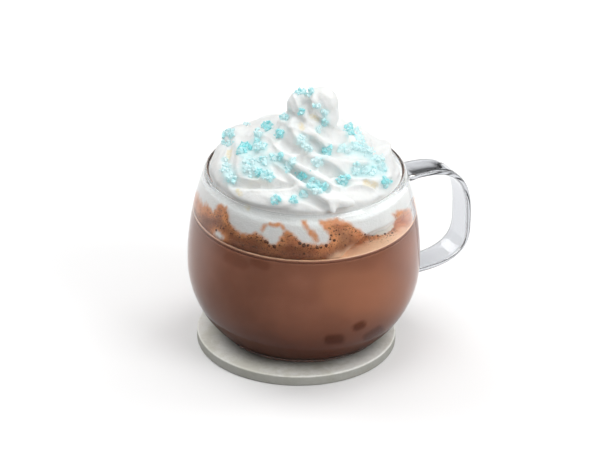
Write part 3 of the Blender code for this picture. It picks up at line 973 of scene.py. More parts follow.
# Painted shade in the glass's colour: the handle a little darker, a painted shadow line round the
# inside of the rim, and a painted dark reflection band on the strap near its upper root, outlined
# in the camera's pixels.
HANDLE_SHADE = 0.05
RIM_SHADE = 0.30
BAND_SHADE = 0.97
BAND = ((408, 168), (430, 165), (446, 161), (448, 166), (432, 171), (411, 176))


def painted_glass_shade(mesh):
    """How much painted shade darkens each part of the glass."""
    points = mesh_points(mesh)
    distance = np.hypot(points[:, 0], points[:, 1])
    height = points[:, 2] - MUG_FOOT
    mug = settings().mug
    handle = ease((distance - mug.radius - 1.0 * MM) / (2.0 * MM))
    rim = ease((height - mug.height + 1.6 * MM) / (0.9 * MM))
    inner = ease((inner_radius(mug.height) + 1.5 * MM - distance) / (0.8 * MM))
    shade = np.maximum(HANDLE_SHADE * handle, RIM_SHADE * rim * inner)
    seen = as_seen(points)
    depth = line_gap(seen, BAND + BAND[:1])
    depth = np.where(inside_outline(seen, BAND), depth, -depth)
    strap_top = height > STRAP_CENTRE[1] + STRAP_RISE - mug.strap_thickness * 0.75
    return np.maximum(shade, BAND_SHADE * ease(depth / 1.4 + 0.5) * strap_top)


def build_mug():
    """The glass, with the handle's strap joined on."""
    material = clear_glass(settings().mug)
    piece = turned("mug_glass", glass_profile(), ROUND_STEPS, material)
    strap = build_strap(material)
    union = piece.modifiers.new("join", "BOOLEAN")
    union.operation = "UNION"
    union.solver = "MANIFOLD"
    union.object = strap
    baked(piece)
    bpy.data.objects.remove(strap, do_unlink=True)
    # Painted shade of the handle, the rim and the strap's band
    add_share(piece.data, "painted_glass_shade", painted_glass_shade(piece.data))
    piece.data.shade_smooth()
    return finished(piece, "glass_mug", "glass_mug")


# ---------------------------------------------------------------- drink and froth

# Darker patches painted on the drink: the three at the lower right are painted dark reflections,
# the two just under the froth are dark patches; their course and half width in the camera's
# pixels, and depth.
DRINK_MARKS = (
    (((328, 338), (339, 337)), 4.0, 1.0), (((355, 326), (361, 323)), 3.2, 1.0),
    (((365, 335), (378, 327)), 3.4, 1.0), (((230, 257), (245, 264)), 4.6, 0.28),
    (((256, 261), (266, 265)), 4.4, 0.42),
)
# Painted light: the drink made paler high on its right, where the light falls.
PAINTED_GLOW_LINE = ((340, 288), (360, 292), (384, 292))
PAINTED_GLOW_WIDTH = 20.0


def painted_drink_glow(points):
    """How much the painted light makes the drink paler."""
    return mark_share(as_seen(points), PAINTED_GLOW_LINE, PAINTED_GLOW_WIDTH) * faces_viewer(points)


def drink_shade(points):
    """How dark the painted reflections and the patches make the drink."""
    seen = as_seen(points)
    marks = [mark_share(seen, line, width) * depth for line, width, depth in DRINK_MARKS]
    return np.maximum.reduce(marks) * faces_viewer(points)


def build_drink():
    """The drink fills the glass up to the froth, and reaches into the glass by a hair."""
    drink = settings().drink
    top = drink.level - drink.froth_thickness
    profile = [(0.0, FLOOR_THICKNESS - SKIN)]
    for radius, height in inner_profile(top, DRINK_POINTS)[1:]:
        profile.append((radius + SKIN, height - (SKIN if height < FLOOR_THICKNESS + MM else 0)))
    profile += [(30 * MM, top), (0.0, top)]
    lifted = [(radius, height + MUG_FOOT) for radius, height in profile]
    piece = turned("drink", lifted, DRINK_STEPS, milky_coffee(drink))
    points = mesh_points(piece.data)
    add_share(piece.data, "drink_shade", drink_shade(points))
    add_share(piece.data, "painted_drink_glow", painted_drink_glow(points))
    return finished(piece, "coffee", "coffee")


FROTH_STEPS = 320                   # points round the froth
FROTH_RINGS = 130
FROTH_HOLE = 8 * MM                 # radius of the innermost ring, under the cream


def froth_mesh(drink):
    """A thin layer that climbs a little at the glass, with an uneven top."""
    level = drink.level + MUG_FOOT
    low = level - drink.froth_thickness - 0.2 * MM
    wall = inner_radius(drink.level) + SKIN * 1.2
    wall_low = inner_radius(low - MUG_FOOT) + SKIN * 1.2
    turn = np.linspace(0.0, 2 * math.pi, FROTH_STEPS, endpoint=False)

    def ring(radius, height):
        return np.stack([radius * np.cos(turn), radius * np.sin(turn),
                         np.broadcast_to(height, turn.shape)], axis=1)

    rings = [ring(wall_low * 0.5, low), ring(wall_low, low)]
    for radius in np.linspace(wall, FROTH_HOLE, FROTH_RINGS):
        rise = 0.15 * MM * math.exp(-(wall - radius) / (0.5 * MM))
        bump = grain(ring(radius, 0.0), 3.0 * MM) * 0.18 * MM
        bump += grain(ring(radius, 1.0), 1.1 * MM) * 0.08 * MM
        rings.append(ring(radius, level - 0.1 * MM + rise + bump))
    return grid_mesh("froth_top", rings, (0, 0, low), (0, 0, level))


def build_froth():
    """The froth with the colours that it shows in the view."""
    drink = settings().drink
    piece = add_mesh("froth_top", froth_mesh(drink), coffee_froth(drink))
    points = mesh_points(piece.data)
    add_share(piece.data, "cream_film", film_share(points))
    add_share(piece.data, "froth_painted_light", painted_light_share(points))
    add_share(piece.data, "froth_painted_shade", painted_shade_share(points))
    return finished(piece, "froth", "froth")


# ---------------------------------------------------------------- whipped cream

# Sizes in millimetres; heights are above the mug's underside, directions from SIDE.
PLEAT_TWIST = 1.0 / 13.5            # radians of turn for a millimetre up the dome
TIER_PITCH = 12.7                   # from one tier to the next, along the dome
TIER_START = 0.42                   # share of a tier by which the first one is shifted
LEAN = 1.4                          # how much lower the heap is at its right than in the middle
CONTACT = (62.0, 69.0)              # the cream bellies out to the glass between these heights
LOW_CONTACT = (-205.0, -50.0)       # degrees between which it does so right above the froth
# The dome from the glass to the top: radius and height.
DOME = ((44.0, 76.0), (42.4, 79.0), (41.9, 81.2), (40.2, 84.6), (35.0, 88.0), (25.0, 93.6),
        (17.0, 98.2), (12.0, 102.6), (8.2, 106.6), (6.4, 110.0), (2.6, 112.0))
# The foot on the froth: degrees and radius.
FOOT_OUTLINE = ((-180, 48.4), (-165, 42.0), (-150, 37.5), (-128, 33.0), (-112, 37.0),
                (-100, 30.5), (-80, 34.5), (-58, 30.0), (-38, 38.5), (-20, 42.0), (0, 48.4),
                (20, 44.0), (40, 38.0), (60, 37.0), (78, 41.5), (100, 38.0), (130, 42.0),
                (155, 39.0), (168, 44.0))
FOOT_DEPTH = 0.2                    # how deep the foot stands in the froth
FOOT_BULGE = 2.2                    # height of the foot's rounded edge
# The rings of that edge: how far each stands in or out, and its share of the height.
FOOT_ROUNDING = ((-1.0, 0.0), (-0.4, 0.02), (0.0, 0.25), (0.0, 0.6), (-0.2, 0.9))
COLUMNS_PER_PLEAT = 44
SIDE_RINGS = 22
DOME_STEP = 0.42                    # between two rings of the dome
# Lobes of the peak, the tongue over the rim and the left shoulder: the pixel where each is
# seen, how far beyond the mug's axis it lies, and its half width, depth and height.
LOBES = (
    ((322, 104), 1.0, (7.3, 7.0, 8.0)),
    ((324, 114), 0.0, (6.7, 7.0, 8.0)),
    ((296, 106), 1.5, (4.1, 5.0, 6.6)),
    ((301, 99), 3.0, (3.4, 4.0, 4.4)),
    ((311, 127), -6.5, (4.4, 4.0, 3.9)),
    ((301, 120), -2.0, (5.0, 5.0, 5.0)),
    ((307, 112), 6.0, (7.4, 6.4, 7.4)),
    ((318, 119), 8.0, (8.0, 7.0, 7.0)),
    ((303, 124), 9.0, (8.0, 7.0, 7.0)),
    ((316, 191), -33.5, (5.0, 3.6, 3.4)),
    ((324, 198), -37.0, (4.4, 3.0, 3.0)),
    ((332, 202), -39.4, (4.6, 2.6, 3.0)),
    ((343, 203), -39.2, (5.4, 2.4, 2.4)),
    ((331.5, 206.5), -41.0, (2.4, 1.5, 2.0)),
    ((333.5, 210.5), -42.2, (0.9, 1.0, 1.3)),
    ((230.5, 137.5), 14.0, (4.2, 6.0, 3.7)),
    ((240, 133), 14.0, (4.6, 6.0, 3.4)),
)
# Crests drawn over the cream's near side: their course in the camera's pixels from left to
# right or downward, height in mm, and how far they slope off to either side, in pixels:
# first above the course or right of it, then below it or left of it.
CREST_LINES = (
    (((290, 128), (300, 131), (312, 136), (320, 141), (326, 147)), 1.4, 9, 3),
    (((271, 140), (275, 147), (283, 153), (290, 157), (297, 157), (304, 153), (308, 147)),
     1.3, 8, 3),
    (((280, 157), (290, 162), (304, 171), (320, 179), (332, 186), (340, 189)), 1.5, 8, 3),
    (((274, 164), (284, 171), (292, 178), (302, 186)), 1.2, 7, 3),
    (((312, 158), (325, 160), (335, 165), (341, 171), (346, 178)), 1.6, 10, 3),
    (((238, 197), (249, 190), (262, 188), (275, 190), (290, 188), (302, 186)), 0.8, 2.5, 6),
    (((240, 200), (250, 203), (262, 205), (278, 206), (290, 205)), 1.9, 15, 3),
    (((300, 187), (308, 190), (318, 196), (326, 202), (331, 208), (334, 213)), 1.2, 9, 3),
    (((343, 190), (352, 185), (362, 183), (370, 187), (378, 194), (386, 197)), 1.4, 3, 9),
    (((322, 92), (330, 99), (335, 111)), 0.5, 4, 4),
    (((288, 95), (290, 103), (293, 112)), 0.6, 2.5, 2.5),
    (((292, 92), (295, 100), (299, 108)), 0.6, 2.5, 2.5),
    (((303, 96), (306, 103), (305, 112)), 0.9, 3, 3),
    (((313, 99), (314, 108), (318, 116), (326, 122), (334, 127)), 1.2, 9, 2.5),
    (((236, 143), (238, 155), (237, 168), (240, 180)), 0.9, 8, 5),
    (((224, 148), (219, 160), (216, 172), (218, 184)), 0.9, 6, 6),
    (((262, 124), (275, 121), (287, 124), (297, 130)), 1.0, 8, 4),
    (((243, 137), (255, 134), (266, 137), (272, 141)), 1.0, 8, 4),
    (((240, 157), (252, 158), (262, 157), (270, 151)), 0.9, 7, 4),
    (((243, 179), (252, 181), (262, 179), (272, 182)), 1.0, 6, 4),
    (((340, 133), (352, 138), (362, 146), (372, 152)), 0.8, 10, 5),
    (((356, 158), (368, 156), (378, 161), (386, 168), (390, 175)), 1.0, 9, 4),
    (((325, 131), (333, 140), (338, 150)), 0.8, 9, 5),
)
# Patches where the cream is yellower: course and half width in the camera's pixels.
BUTTER_LINES = (
    (((230, 147), (229, 154), (228, 158)), 2.4), (((238, 191), (240, 194)), 2.4),
    (((301, 125), (302, 128)), 2.4), (((312, 116), (317, 119)), 2.2),
    (((366, 183), (375, 185)), 3.0), (((247, 207), (249, 209)), 1.8),
)
# Hollows between them: course, depth in mm and half width in pixels.
HOLLOW_LINES = (
    (((309, 103), (311, 109), (310, 116)), 2.0, 4.0),
    (((317, 96), (321, 105), (328, 113)), 0.5, 4.0),
    (((311, 118), (318, 119), (325, 124)), 1.4, 3.5),
    (((312, 141), (318, 146), (322, 151)), 2.2, 6),
    (((283, 147), (292, 150), (299, 149)), 1.3, 7),
    (((300, 160), (308, 163), (315, 167)), 2.5, 4.5),
    (((290, 170), (302, 178), (316, 184), (328, 189)), 2.8, 4.5),
    (((325, 168), (333, 173), (338, 180)), 2.7, 8),
    (((232, 184), (250, 185), (270, 185), (290, 184)), 3.0, 6),
    (((276, 172), (284, 177), (292, 184)), 2.1, 5),
    (((303, 195), (314, 200), (324, 206)), 2.3, 7),
    (((344, 184), (354, 181), (366, 182), (376, 187)), 1.3, 3.5),
    (((250, 156), (257, 153)), 1.6, 3.5),
    (((251, 176), (257, 177)), 1.9, 4),
    (((230, 143), (229, 152), (227, 162)), 1.1, 3),
    (((288, 113), (297, 117), (303, 121)), 1.1, 3.5),
)
FOLDS_ABOVE = 79.5                  # height above which folds are drawn, just below the rim
CREAM_VOXEL = 0.57 * MM             # side of the even faces that make the skin
DOME_STEPS = 40                     # from one point of DOME to the next


def dome_table():
    """A smooth curve through DOME: distance along it, its points and its outward normals."""
    dense = []
    for index in range(len(DOME) - 1):
        before = np.array(DOME[max(0, index - 1)])
        start, end = np.array(DOME[index]), np.array(DOME[index + 1])
        after = np.array(DOME[min(len(DOME) - 1, index + 2)])
        for share in np.linspace(0.0, 1.0, DOME_STEPS, endpoint=False):
            bend = share * share * (3 - 2 * share)
            push = (end - before) / 2 * (share ** 3 - 2 * share ** 2 + share)
            pull = (after - start) / 2 * (share ** 3 - share ** 2)
            dense.append(start * (1 - bend) + end * bend + push + pull)
    dense = np.array(dense + [np.array(DOME[-1])])
    step = np.diff(dense, axis=0)
    size = np.linalg.norm(step, axis=1)
    travelled = np.concatenate([[0.0], np.cumsum(size)])
    along = np.concatenate([step / size[:, None], step[-1:] / size[-1]])
    return travelled, dense, np.stack([along[:, 1], -along[:, 0]], axis=1)


def foot_radius(turn):
    """Radius of the cream's foot in each direction."""
    degrees = (np.degrees(turn) + 180.0) % 360.0 - 180.0
    outline = np.array((*FOOT_OUTLINE, (180.0, FOOT_OUTLINE[0][1])))
    index = np.clip(np.searchsorted(outline[:, 0], degrees, side="right") - 1, 0,
                    len(outline) - 2)
    start, end = outline[index], outline[index + 1]
    share = (degrees - start[:, 0]) / (end[:, 0] - start[:, 0])
    return start[:, 1] + (end[:, 1] - start[:, 1]) * ease(share)


def tier_fold(phase):
    """A fold: round on top with a sharp crease beside it."""
    across = 2.0 * (phase - np.floor(phase)) - 1.0
    return np.sqrt(np.clip(1.0 - across * across, 0.0, 1.0))


def pleat_fold(phase):
    """A fold with a crisp crest and a wide hollow beside it."""
    across = np.abs(2.0 * (phase - np.floor(phase)) - 1.0)
    return (1.0 - across) ** 1.5


def wander(turn, along, scale, seed):
    """Slow unevenness round the heap, from -1 to 1; scale is the size of its blobs."""
    level = along + seed * 90.0
    places = [(math.cos(angle) * 30.0, math.sin(angle) * 30.0, level) for angle in turn]
    return grain(places, scale)


RIM_GAP = 0.9                       # between the cream and the inside of the rim
OVER_RIM = 4.0                      # how fast cream may spread above the rim


def glass_limit(height):
    """How far out cream may go at a height: into the glass by a hair below the rim."""
    mug = settings().mug
    top = mug.height / MM
    reach = np.sqrt(1.0 - ((np.minimum(height, top) * MM - WIDEST_HEIGHT) / UPPER_ELLIPSE) ** 2)
    wall = (mug.radius - mug.wall) * reach / MM + SKIN / MM
    free = np.clip((height - top + 4.0) / 3.0, 0.0, 1.0) * RIM_GAP
    return wall - free + np.clip(height - top - 1.0, 0.0, None) * OVER_RIM


def cream_ring(radius, height, turn):
    """Points in metres round the axis, from radii and heights in millimetres."""
    return np.stack([radius * np.cos(turn + SIDE) * MM, radius * np.sin(turn + SIDE) * MM,
                     np.broadcast_to(height, radius.shape) * MM + MUG_FOOT], axis=1)


def pressed_share(turn):
    """1 in the directions where the cream lies against the glass right above the froth."""
    degrees = (np.degrees(turn) + 270.0) % 360.0 - 270.0
    return ease((degrees - LOW_CONTACT[0]) / 12.0) * ease((LOW_CONTACT[1] - degrees) / 22.0)


def side_rings(turn, base):
    """The cream's side from its foot in the froth up to where the dome begins."""
    neck_radius, neck_height = DOME[0]
    pressed = pressed_share(turn)
    free = 1.0 - pressed
    ragged = wander(turn, 0.0, 5.0, 1) * 1.6 + wander(turn, 0.0, 2.2, 2) * 0.7
    foot = foot_radius(turn) + ragged
    foot = foot + (glass_limit(base) - foot) * pressed
    contact_low = CONTACT[0] + (base + 0.1 - CONTACT[0]) * pressed
    contact_high = CONTACT[1] + (base + 2.4 - CONTACT[1]) * pressed
    rings = [cream_ring(foot + out * free, base + share * FOOT_BULGE, turn)
             for out, share in FOOT_ROUNDING]
    for share in np.linspace(0.04, 0.97, SIDE_RINGS):
        low = foot - 0.6 * free
        slow = wander(turn, share * 12.0, 6.0, 3) * 1.1 * math.sin(math.pi * share)
        height = base + FOOT_BULGE + (neck_height - base - FOOT_BULGE) * share
        wall = glass_limit(height)
        belly = ease((height - contact_low) / (contact_high - contact_low))
        radius = low + (neck_radius - low) * ease(share) + slow
        radius = np.minimum(radius * (1 - belly) + wall * belly, wall)
        rings.append(cream_ring(radius, height, turn))
    return rings


def dome_rings(turn, cream):
    """The dome with its slanting pleats and the creases between its tiers."""
    travelled, dense, outward = dome_table()
    length = travelled[-1]
    pleat = pleat_fold(np.arange(len(turn)) * cream.pleats / len(turn)) - 0.4
    pleat_depth, tier_depth = cream.pleat_depth / MM, cream.tier_depth / MM
    near = 1.0 - 0.65 * ease(-np.sin(turn) * 2.0 + 0.6)
    rings = []
    for along in np.arange(0.0, length, DOME_STEP):
        point = [np.interp(along, travelled, part) for part in dense.T]
        normal = [np.interp(along, travelled, part) for part in outward.T]
        twisted = turn - along * PLEAT_TWIST
        drift = wander(twisted, along, 9.0, 4)
        phase = along / TIER_PITCH + twisted / (2 * math.pi) + TIER_START + drift * 0.10
        folds = (tier_fold(phase) - 0.75) * tier_depth + pleat * pleat_depth * (1 + drift)
        fade = ease((length - along) / 12.0)
        push = folds * near * ease((along - 2.0) / 4.0) * fade
        push = push + wander(twisted, along, 22.0, 5) * 1.6 * fade
        push = push + wander(twisted, along, 4.0, 6) * 0.35
        height = point[1] + normal[1] * push
        height = height - LEAN * np.cos(twisted) * ease(along / 10.0) * fade
        radius = np.minimum(point[0] + normal[0] * push, glass_limit(height))
        rings.append(cream_ring(radius, height, twisted))
    return rings


def cream_mesh():
    """The piped heap from its foot to its top, still without the lobes."""
    cream = settings().cream
    columns = cream.pleats * COLUMNS_PER_PLEAT
    turn = np.linspace(0.0, 2 * math.pi, columns, endpoint=False)
    base = settings().drink.level / MM - FOOT_DEPTH
    top = DOME[-1][1] + 0.6
    rings = side_rings(turn, base) + dome_rings(turn, cream)
    return grid_mesh("cream", rings, (0, 0, base * MM + MUG_FOOT), (0, 0, top * MM + MUG_FOOT))


def sight_place(pixel_x, pixel_y, beyond):
    """The point seen at a pixel, on the upright plane some mm beyond the mug's axis."""
    start, direction = view_ray(pixel_x, pixel_y)
    away = Vector((-math.sin(SIDE), math.cos(SIDE), 0.0))
    travel = (beyond * MM - start.dot(away)) / direction.dot(away)
    return start + direction * travel


def lobe_mesh(pixel, beyond, size):
    """A rounded lobe that is seen at a pixel, turned to face the view."""
    shape = bmesh.new()
    bmesh.ops.create_uvsphere(shape, u_segments=48, v_segments=32, radius=1.0)
    spin = Matrix.Translation(sight_place(*pixel, beyond)) @ Matrix.Rotation(SIDE, 4, "Z")
    spin = spin @ Matrix.Diagonal((*[part * MM for part in size], 1.0))
    shape.transform(spin)
    mesh = bpy.data.meshes.new("lobe")
    shape.to_mesh(mesh)
    shape.free()
    return mesh


def fold_relief(points):
    """Height in mm of the crests and hollows drawn over the cream."""
    seen = as_seen(points)
    crests = np.zeros(len(points))
    for line, height, above, below in CREST_LINES:
        gap, under = line_side(seen, line)
        share = np.clip(1.0 - gap / np.where(under, below, above), 0.0, 1.0)
        crests = np.maximum(crests, height * share ** 1.4)
    hollows = np.zeros(len(points))
    for line, depth, width in HOLLOW_LINES:
        share = np.clip(line_gap(seen, line) / width, 0.0, 1.0)
        hollows = np.maximum(hollows, depth * (1.0 - share * share) ** 2)
    return crests - hollows


def press_folds(mesh):
    """Move the cream's near side in or out where folds are drawn."""
    points = mesh_points(mesh)
    normals = np.zeros(len(points) * 3)
    mesh.vertex_normals.foreach_get("vector", normals)
    normals = normals.reshape(-1, 3)
    back = np.array(view_axes()[2])
    facing = ease(normals @ back * 2.5)
    above = ease(((points[:, 2] - MUG_FOOT) / MM - FOLDS_ABOVE) / 2.5)
    near = ease((points @ back / MM + 2.0) / 8.0 + 0.3)
    fluff = grain(points, 1.5 * MM) * 0.20 + grain(points, 4.2 * MM) * 0.34
    push = (fold_relief(points) * facing * near + fluff) * above * MM
    points += normals * push[:, None]
    mesh.vertices.foreach_set("co", points.ravel())
    mesh.update()


def joined(meshes):
    """Several closed skins in one mesh, ready to be remeshed as one."""
    shape = bmesh.new()
    for mesh in meshes:
        shape.from_mesh(mesh)
    made = bpy.data.meshes.new("joined")
    shape.to_mesh(made)
    shape.free()
    return made


def reskin(piece, rounds):
    """One closed skin of even faces around all that the piece holds, then smoothed."""
    remesh = piece.modifiers.new("skin", "REMESH")
    remesh.mode = "VOXEL"
    remesh.voxel_size = CREAM_VOXEL
    remesh.use_smooth_shade = True
    soften = piece.modifiers.new("soften", "SMOOTH")
    soften.factor = 0.5
    soften.iterations = rounds
    baked(piece)


def build_cream():
    """One skin round the heap and its lobes, then folds drawn over it and froth stains."""
    cream, drink = settings().cream, settings().drink
    meshes = [cream_mesh()] + [lobe_mesh(*part) for part in LOBES]
    piece = add_mesh("cream", joined(meshes), soft_cream(cream, drink))
    reskin(piece, 6)
    press_folds(piece.data)
    reskin(piece, 1)
    stain_cream(piece.data)
    piece.data.shade_smooth()
    return finished(piece, "whipped_cream", "whipped_cream")


# Height of the froth on the cream's far side, in mm above the mug's underside, by
# direction in degrees from SIDE.
FROTH_LINE = ((0, 66), (12, 68), (40, 62), (60, 65), (78, 61), (100, 63), (115, 68), (130, 64),
              (150, 61), (165, 66), (180, 67))
CLEAN_ABOVE = 77.0                  # height that the froth's stain doesn't pass


def stain_depth(points):
    """How deep the froth has stained the cream, in mm: as seen in front, by a line behind."""
    line = np.array(FROTH_LINE, float)
    turn = np.degrees(np.arctan2(points[:, 1], points[:, 0]) - SIDE) % 360.0
    height = (points[:, 2] - MUG_FOOT) / MM
    behind = np.interp(turn, line[:, 0], line[:, 1]) + grain(points, 2.6 * MM) * 1.8 - height
    depth = np.where(faces_viewer(points), brown_depth(points) * PIXEL_SIZE, behind)
    return np.minimum(depth, (CLEAN_ABOVE - height) * 1.5)


def stain_cream(mesh):
    """Keep with the cream where froth, a buttery yellow and the sugar's dye colour it, and the
    froth's painted light and shade.
    """
    points = mesh_points(mesh)
    seen, near = as_seen(points), faces_viewer(points)
    butter = np.maximum.reduce([mark_share(seen, *mark) for mark in BUTTER_LINES])
    add_share(mesh, "froth_depth", stain_depth(points))
    add_share(mesh, "butter", butter * near)
    add_share(mesh, "sugar_dye", sugar_dye(seen) * near)
    add_share(mesh, "froth_painted_light", painted_light_share(points))
    add_share(mesh, "froth_painted_shade", painted_shade_share(points))


# ---------------------------------------------------------------- sugar

# Where clusters of crystals are seen, in the camera's pixels, with a count, how far they
# spread in mm and how deep their blue is.
SUGAR_CLUSTERS = (
    (297, 91, 4, 1.6, 0.5), (303, 92, 5, 1.8, 0.5), (311, 92, 3, 1.4, 0.4),
    (302, 111, 6, 1.6, 1.0), (325, 113, 3, 1.8, 0.2), (326, 122, 5, 1.8, 0.5),
    (317, 106, 2, 1.4, 0.1), (318, 129, 3, 1.4, 0.2), (350, 128, 7, 2.2, 0.7),
    (350, 133, 5, 1.6, 0.8), (357, 132, 6, 2.2, 0.3), (361, 139, 7, 2.8, 0.2),
    (357, 147, 12, 3.4, 0.2), (368, 150, 9, 3.0, 0.1), (377, 158, 7, 2.8, 0.1),
    (381, 166, 4, 2.0, 0.2), (327, 151, 12, 2.4, 0.8), (341, 148, 3, 1.6, 0.1),
    (348, 151, 4, 1.8, 0.1), (356, 170, 8, 2.6, 0.3), (365, 171, 7, 2.4, 0.2),
    (373, 171, 7, 2.4, 0.1), (382, 170, 4, 1.8, 0.2), (343, 181, 13, 2.8, 0.7),
    (386, 182, 12, 2.4, 0.8), (318, 162, 6, 2.6, 0.1), (302, 175, 7, 2.0, 0.9),
    (312, 184, 9, 2.8, 0.5), (324, 187, 6, 2.0, 0.6), (317, 190, 4, 2.0, 0.2),
    (303, 194, 5, 1.7, 0.5), (294, 200, 7, 1.9, 0.6), (276, 199, 8, 2.2, 0.7),
    (301, 140, 6, 2.6, 0.1), (308, 148, 3, 1.8, 0.1), (267, 126, 12, 2.4, 0.9),
    (280, 134, 9, 2.0, 0.8), (246, 125, 5, 2.2, 0.2), (285, 117, 4, 1.8, 0.3),
    (229, 134, 14, 2.8, 0.4), (222, 131, 6, 1.3, 0.5), (228, 143, 5, 2.0, 0.3),
    (245, 147, 13, 2.4, 1.0), (240, 152, 5, 1.6, 0.6), (257, 145, 8, 2.6, 0.4),
    (264, 147, 5, 1.8, 0.4), (249, 162, 8, 3.2, 0.1), (248, 170, 7, 3.0, 0.1),
    (264, 161, 7, 2.8, 0.2), (277, 158, 9, 2.8, 0.3), (259, 173, 8, 2.0, 0.9),
    (267, 174, 8, 2.2, 0.4), (270, 178, 3, 1.5, 0.3), (227, 170, 6, 2.6, 0.1),
    (230, 179, 8, 2.8, 0.2), (287, 167, 6, 2.2, 0.3), (293, 161, 3, 1.6, 0.3),
    (224, 159, 2, 1.2, 0.2), (259, 133, 3, 1.8, 0.2),
)
GRAINS_PER_COUNT = 3                # crystals for each one that a cluster counts
CRUMB_EVERY = 4                     # one crystal of this many is a crumb
SPREAD_LIMIT = 9 * MM               # a crystal that lands farther off is brought back
DYE_REACH = 1.25                    # of a cluster's spread
CLUMPS_ELSEWHERE = 150              # tried all over; those that the view shows are left out
GOLDEN_TURN = math.pi * (3 - math.sqrt(5.0))    # spreads the clumps evenly
ABOVE_ALL = 0.3                     # metres; where rays start that are cast downward
DOWN = Vector((0, 0, -1))


def sugar_dye(seen):
    """How blue the cream has turned among the crystals."""
    dye = np.zeros(len(seen))
    for pixel_x, pixel_y, _, spread, _ in SUGAR_CLUSTERS:
        wide = spread / PIXEL_SIZE * DYE_REACH
        away = np.hypot(seen[:, 0] - pixel_x, seen[:, 1] - pixel_y) / wide
        dye = dye + np.exp(-away * away)
    return np.minimum(dye, 1.0)


def skin_tree(*pieces):
    """The faces of some pieces, ready for rays to be cast at them."""
    shape = bmesh.new()
    for piece in pieces:
        shape.from_mesh(piece.data)
    tree = BVHTree.FromBMesh(shape)
    shape.free()
    return tree


def scatter_mesh(name, sites):
    """Points that keep the size, the turn and the tone of what will stand on them."""
    places, sizes, turns, tones = zip(*sites)
    mesh = bpy.data.meshes.new(name)
    mesh.from_pydata(places, [], [])
    add_share(mesh, "grain_size", sizes)
    add_share(mesh, "grain_tone", tones)
    layer = mesh.attributes.new("grain_turn", "FLOAT_VECTOR", "POINT")
    layer.data.foreach_set("vector", np.ravel(turns))
    return mesh


def pixel_hit(tree, pixel_x, pixel_y):
    """The place and the normal of the skin that is seen at a pixel."""
    start, direction = view_ray(pixel_x, pixel_y)
    place, normal, _, _ = tree.ray_cast(start, direction)
    return place, normal


def any_turn(draw):
    """A random turn about each of the three axes."""
    return [draw.uniform(0.0, 2 * math.pi) for _ in range(3)]


def near_place(tree, draw, place, spread):
    """A random place on the skin, near another one; the spread is in mm."""
    step = Vector([draw.gauss(0.0, spread) for _ in range(3)]) * MM
    near, normal, _, _ = tree.find_nearest(place + step)
    return near, normal


def crystal(draw, place, normal, size, tone):
    """A crystal that stands a little out of the cream."""
    turn = any_turn(draw)
    return place + normal * size * 0.08, size, turn, tone + draw.gauss(0.0, 0.15)


def cluster_sites(tree, draw, large):
    """Crystals and crumbs round each place where a cluster is seen."""
    sites = []
    for pixel_x, pixel_y, count, spread, tone in SUGAR_CLUSTERS:
        wide = spread / PIXEL_SIZE
        middle, _ = pixel_hit(tree, pixel_x, pixel_y)
        for index in range(count * GRAINS_PER_COUNT):
            crumb = index % CRUMB_EVERY == CRUMB_EVERY - 1
            reach = wide * (0.50 if crumb else 0.40)
            place, normal = pixel_hit(tree, pixel_x + draw.gauss(0.0, reach),
                                      pixel_y + draw.gauss(0.0, reach * 0.9))
            astray = place is None or (
                middle is not None and (place - middle).length > SPREAD_LIMIT)
            if astray:
                start, direction = view_ray(pixel_x, pixel_y)
                guess = middle or start + direction * (start.length - 10 * MM)
                place, normal = near_place(tree, draw, guess, 0.7)
            size = draw.uniform(0.16, 0.36) if crumb else draw.uniform(0.36, 1.0)
            sites.append(crystal(draw, place, normal, large * size, tone))
    return sites


def hidden(tree, place, normal):
    """Whether the heap itself hides one of its places from the camera."""
    back = view_axes()[2]
    start = place + back * (2 * MM) + normal * (0.5 * MM)
    return tree.ray_cast(start, back)[0] is not None


def strewn_sites(tree, draw, large):
    """Clumps of crystals on the sides that the view doesn't show."""
    sites = []
    reach = inner_radius(settings().mug.height) - 3 * MM
    for index in range(CLUMPS_ELSEWHERE):
        distance = reach * math.sqrt((index + 0.5) / CLUMPS_ELSEWHERE)
        turn = index * GOLDEN_TURN + draw.uniform(-0.5, 0.5)
        start = Vector((distance * math.cos(turn), distance * math.sin(turn), ABOVE_ALL))
        place, normal, _, _ = tree.ray_cast(start, DOWN)
        if place is None or not hidden(tree, place, normal):
            continue
        for _ in range(draw.choice((1, 3, 6, 9))):
            near, up = near_place(tree, draw, place, 1.1)
            size = large * draw.uniform(0.35, 1.0)
            sites.append(crystal(draw, near, up, size, draw.uniform(0.0, 0.9)))
    return sites


# Sides of the chips before their corners are shifted.
CHIPS = ((0.9, 0.7, 0.6), (1.2, 0.6, 0.5), (0.8, 0.8, 0.4), (1.0, 0.5, 0.7), (0.7, 0.6, 0.5))
SEED_STEP = 7.0                     # between the seeds of two lumps
CRYSTAL_LUMPS = 8                   # different crystals, and different bubbles
BUBBLE_LUMPS = 2


def rough_lump(graph, index, chipped):
    """A ball or, every other time, a chip with its corners shifted at random."""
    if index % 2 and chipped:
        lump = graph.node("GeometryNodeMeshCube", None, CHIPS[index % len(CHIPS)])
    else:
        lump = graph.node("GeometryNodeMeshIcoSphere", None, 0.5, graph.given("Detail"))
    seed = graph.given("Seed") + index * SEED_STEP
    shift = graph.node("FunctionNodeRandomValue", {"data_type": "FLOAT_VECTOR"},
                       (-0.5, -0.5, -0.5), (0.5, 0.5, 0.5), Seed=seed)
    shift = graph.node("ShaderNodeVectorMath", {"operation": "SCALE"}, shift,
                       Scale=graph.given("Roughness"))
    return graph.node("GeometryNodeSetPosition", None, lump, Offset=shift)


